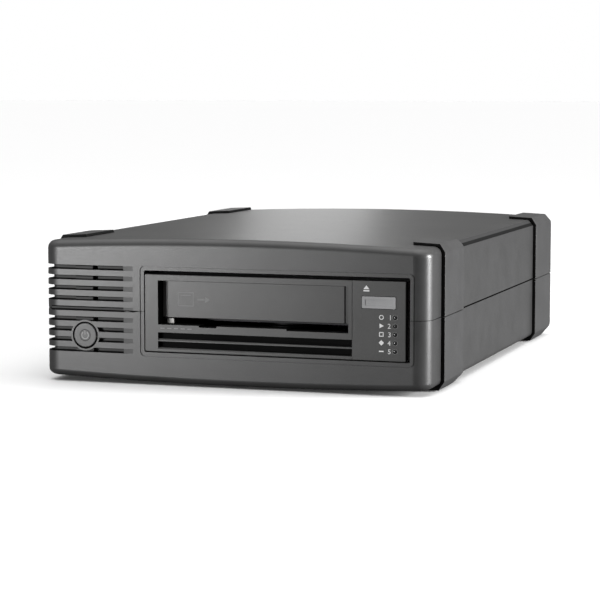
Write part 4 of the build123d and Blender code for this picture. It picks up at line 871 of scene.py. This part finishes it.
footPlan = {"count": 4, "rib": 0.5, "ribs": 7}
footSolids = solidCorners("rubber_feet", footPlan["count"])
footSize = footSolids[0][1] - footSolids[0][0]
growPiece("ribbedFeet", [((low.x + high.x) / 2, (low.y + high.y) / 2, low.z) for low, high in footSolids],
          ribbedFeet, {"Width": footSize.x, "Length": footSize.y, "Height": footSize.z,
                       "Rib Height": footPlan["rib"] * mm, "Ribs": footPlan["ribs"],
                       "Material": finishes["footRubber"]}, replaced="rubber_feet")

lightPlan = {"x": 91.0, "top": 41.4, "pitch": 4.45, "lights": 5, "back": 0.15, "dome": 1.05, "rise": 0.45,
             "rim": 1.35, "wire": 0.16}
growPiece("lightDomes", [(lightPlan["x"] * mm, caseFront + lightPlan["back"] * mm, lightPlan["top"] * mm)],
          lightRow, {"Lights": lightPlan["lights"], "Pitch": lightPlan["pitch"] * mm,
                     "Dome Radius": lightPlan["dome"] * mm, "Dome Height": lightPlan["rise"] * mm,
                     "Rim Radius": lightPlan["rim"] * mm, "Rim Wire": lightPlan["wire"] * mm,
                     "Dome Material": finishes["lensClear"], "Rim Material": finishes["rimGreyHighlight"]},
          angle=60)
print("repeated pieces grown")


# Printed marks, each a thin solid on the face it marks

def flatMark(faces):
    # faces are lists of (across, up) points in mm
    work = bmesh.new()
    for outline in faces:
        work.faces.new([work.verts.new((x * mm, 0, z * mm)) for x, z in outline])
    bmesh.ops.remove_doubles(work, verts=work.verts, dist=1e-7)
    return work


def arcFaces(radius, width, start, finish, steps):
    inner, outer = radius - width / 2, radius + width / 2
    angles = [math.radians(start + (finish - start) * i / steps) for i in range(steps + 1)]
    return [[(r * math.cos(a), r * math.sin(a))
             for r, a in ((inner, a1), (outer, a1), (outer, a2), (inner, a2))]
            for a1, a2 in zip(angles, angles[1:])]


def barFace(x1, z1, x2, z2, width):
    along = Vector((x2 - x1, z2 - z1)).normalized()
    side = Vector((-along.y, along.x)) * width / 2
    return [(x1 + side.x, z1 + side.y), (x2 + side.x, z2 + side.y), (x2 - side.x, z2 - side.y),
            (x1 - side.x, z1 - side.y)]


def rectFace(left, right, low, high):
    return [(left, low), (right, low), (right, high), (left, high)]


def frameFaces(width, height, line):
    half, rise = width / 2, height / 2
    outer = rectFace(-half, half, -rise, rise)
    inner = rectFace(line - half, half - line, line - rise, rise - line)
    return [[outer[i], outer[(i + 1) % 4], inner[(i + 1) % 4], inner[i]] for i in range(4)]


def moved(faces, x, z):
    return [[(px + x, pz + z) for px, pz in outline] for outline in faces]


def scaled(faces, factor):
    return [[(x * factor, z * factor) for x, z in outline] for outline in faces]


def settleMark(name, mesh, finish, body):
    piece = linkMesh(name, mesh)
    mesh.materials.clear()
    mesh.materials.append(finishes[finish])
    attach(piece, body)


markThickness = 0.06         # mm


def addMark(name, parts, place, finish, body, thickness=markThickness):
    # parts that don't touch are separate solids in one mesh
    mesh = bpy.data.meshes.new(name)
    whole = bmesh.new()
    for faces in parts:
        part = flatMark(faces)
        bmesh.ops.solidify(part, geom=part.faces[:], thickness=thickness * mm)
        bmesh.ops.recalc_face_normals(part, faces=part.faces)
        single = bpy.data.meshes.new("part")
        part.to_mesh(single)
        part.free()
        whole.from_mesh(single)
        bpy.data.meshes.remove(single)
    centre = sum((vertex.co.y for vertex in whole.verts), 0.0) / len(whole.verts)
    for vertex in whole.verts:
        vertex.co += Vector((place[0] * mm, place[1] - centre, place[2] * mm))
    whole.to_mesh(mesh)
    whole.free()
    settleMark(name, mesh, finish, body)


textPlan = {"size": 1.4, "steps": 3}     # font size for each mm of a numeral's height, and its smoothness


def addText(name, lines, finish, body):
    # lines are (text, right end, bottom, height) in mm, on the faceplate's front
    work = bmesh.new()
    for text, right, bottom, height in lines:
        curve = bpy.data.curves.new(name + text, "FONT")
        curve.body = text
        curve.size = height * textPlan["size"] * mm
        curve.extrude = markThickness / 2 * mm
        curve.resolution_u = textPlan["steps"]
        writing = bpy.data.objects.new(name + text, curve)
        bpy.context.collection.objects.link(writing)
        mesh = evaluatedMesh(writing)
        bpy.data.objects.remove(writing)
        width = max(vertex.co.x for vertex in mesh.vertices)
        place = Matrix.Translation((right * mm - width, caseFront, bottom * mm))
        mesh.transform(place @ Matrix.Rotation(math.pi / 2, 4, "X"))
        work.from_mesh(mesh)
    bmesh.ops.remove_doubles(work, verts=work.verts, dist=1e-7)
    bmesh.ops.recalc_face_normals(work, faces=work.faces)
    joined = bpy.data.meshes.new(name)
    work.to_mesh(joined)
    work.free()
    settleMark(name, joined, finish, body)


# the power button: a broken ring with a bar, and a dark ring round it
powerMark = {"arc": 1.95, "line": 0.5, "gap": 36, "bar": (0.35, 2.6), "ring": 3.05, "ringLine": 0.35,
             "ringThickness": 0.04}
buttonLow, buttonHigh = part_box("power_button")
buttonPlace = ((buttonLow[0] + buttonHigh[0]) / 2 / mm, buttonLow[1], (buttonLow[2] + buttonHigh[2]) / 2 / mm)
arc = arcFaces(powerMark["arc"], powerMark["line"], 90 + powerMark["gap"], 450 - powerMark["gap"], 30)
bar = [barFace(0, powerMark["bar"][0], 0, powerMark["bar"][1], powerMark["line"])]
ring = arcFaces(powerMark["ring"], powerMark["ringLine"], 0, 360, 40)
addMark("powerSign", [arc, bar], buttonPlace, "signGrey", "power_button")
addMark("powerRing", [ring], buttonPlace, "blackStep", "power_button",
        powerMark["ringThickness"])

# the eject sign: a triangle over a bar
ejectPlan = {"place": (75.4, 55.6), "width": 3.2, "triangle": (0.3, 2.3), "bar": (-0.9, -0.2)}
ejectHalf = ejectPlan["width"] / 2
foot, tip = ejectPlan["triangle"]
addMark("ejectSign", [[[(-ejectHalf, foot), (ejectHalf, foot), (0, tip)]],
                      [rectFace(-ejectHalf, ejectHalf, *ejectPlan["bar"])]],
        (ejectPlan["place"][0], caseFront, ejectPlan["place"][1]), "printWhite", "case")

# a numeral and a plain sign beside each light
signPlan = {"numeralRight": 88.6, "numeralHeight": 2.6, "signMiddle": 83.6, "signScale": 1.25}
lightSigns = [
    arcFaces(0.85, 0.32, 0, 360, 24),
    [[(-0.8, -1.0), (1.0, 0), (-0.8, 1.0)]],
    frameFaces(1.9, 1.9, 0.32),
    [[(0, -1.15), (1.15, 0), (0, 1.15), (-1.15, 0)]],
    [barFace(-1.0, 0, 1.0, 0, 0.5)],
]
lightHeights = [lightPlan["top"] - lightPlan["pitch"] * i for i in range(lightPlan["lights"])]
numeral = signPlan["numeralHeight"]
addText("lightNumerals", [(str(i + 1), signPlan["numeralRight"], height - numeral / 2, numeral)
                          for i, height in enumerate(lightHeights)], "printWhite", "case")
addMark("lightSigns", [moved(scaled(faces, signPlan["signScale"]), signPlan["signMiddle"], height)
                       for faces, height in zip(lightSigns, lightHeights)],
        (0, caseFront, 0), "printWhite", "case")

# a row of plain dashes on the lip under the mouth
dashPlan = {"x": -40.2, "z": 31.3, "count": 5, "pitch": 3.9, "width": 2.4, "height": 0.5}
dashLow, dashHigh = dashPlan["z"] - dashPlan["height"] / 2, dashPlan["z"] + dashPlan["height"] / 2
dashLefts = [dashPlan["x"] + dashPlan["pitch"] * i for i in range(dashPlan["count"])]
addMark("lipDashes", [[rectFace(left, left + dashPlan["width"], dashLow, dashHigh)] for left in dashLefts],
        (0, caseFront, 0), "printGrey", "case")

# a plain cartridge outline and an arrow into the drive, on the door
doorPlan = {"place": (-27.5, 46.8), "size": (9.0, 7.6), "line": 0.45, "arrow": 10.0}
doorParts = [frameFaces(*doorPlan["size"], doorPlan["line"]),
             [barFace(-3.0, 2.1, 3.0, 2.1, 0.4)],
             moved([barFace(-3.4, 0, 1.0, 0, 0.9)], doorPlan["arrow"], 0),
             moved([[(1.1, -1.6), (3.8, 0), (1.1, 1.6)]], doorPlan["arrow"], 0)]
addMark("doorSign", doorParts, (doorPlan["place"][0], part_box("cartridge_door")[0][1], doorPlan["place"][1]),
        "printGrey", "door")

# the pale guide block that stands in the mouth's lower left corner; its depths are from the front
guidePlan = {"x": (-39.4, -35.4), "y": (7.9, 9.3), "z": (33.2, 36.0), "round": 0.3}


def addGuide(name, plan, finish, body):
    mesh = bpy.data.meshes.new(name)
    work = bmesh.new()
    bmesh.ops.create_cube(work, size=1.0)
    low = Vector([plan[axis][0] * mm for axis in "xyz"])
    high = Vector([plan[axis][1] * mm for axis in "xyz"])
    for vertex in work.verts:
        vertex.co = Vector([low[i] + (vertex.co[i] + 0.5) * (high[i] - low[i]) for i in range(3)])
        vertex.co.y += caseFront
    work.to_mesh(mesh)
    work.free()
    piece = softenEdges(linkMesh(name, mesh), plan["round"] * mm)
    piece.data.materials.append(finishes[finish])
    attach(piece, body)


addGuide("mouthGuide", guidePlan, "whitePlastic", "case")
print("marks printed")


addCamera(cameraPlan)
addStudio(studioPlan)
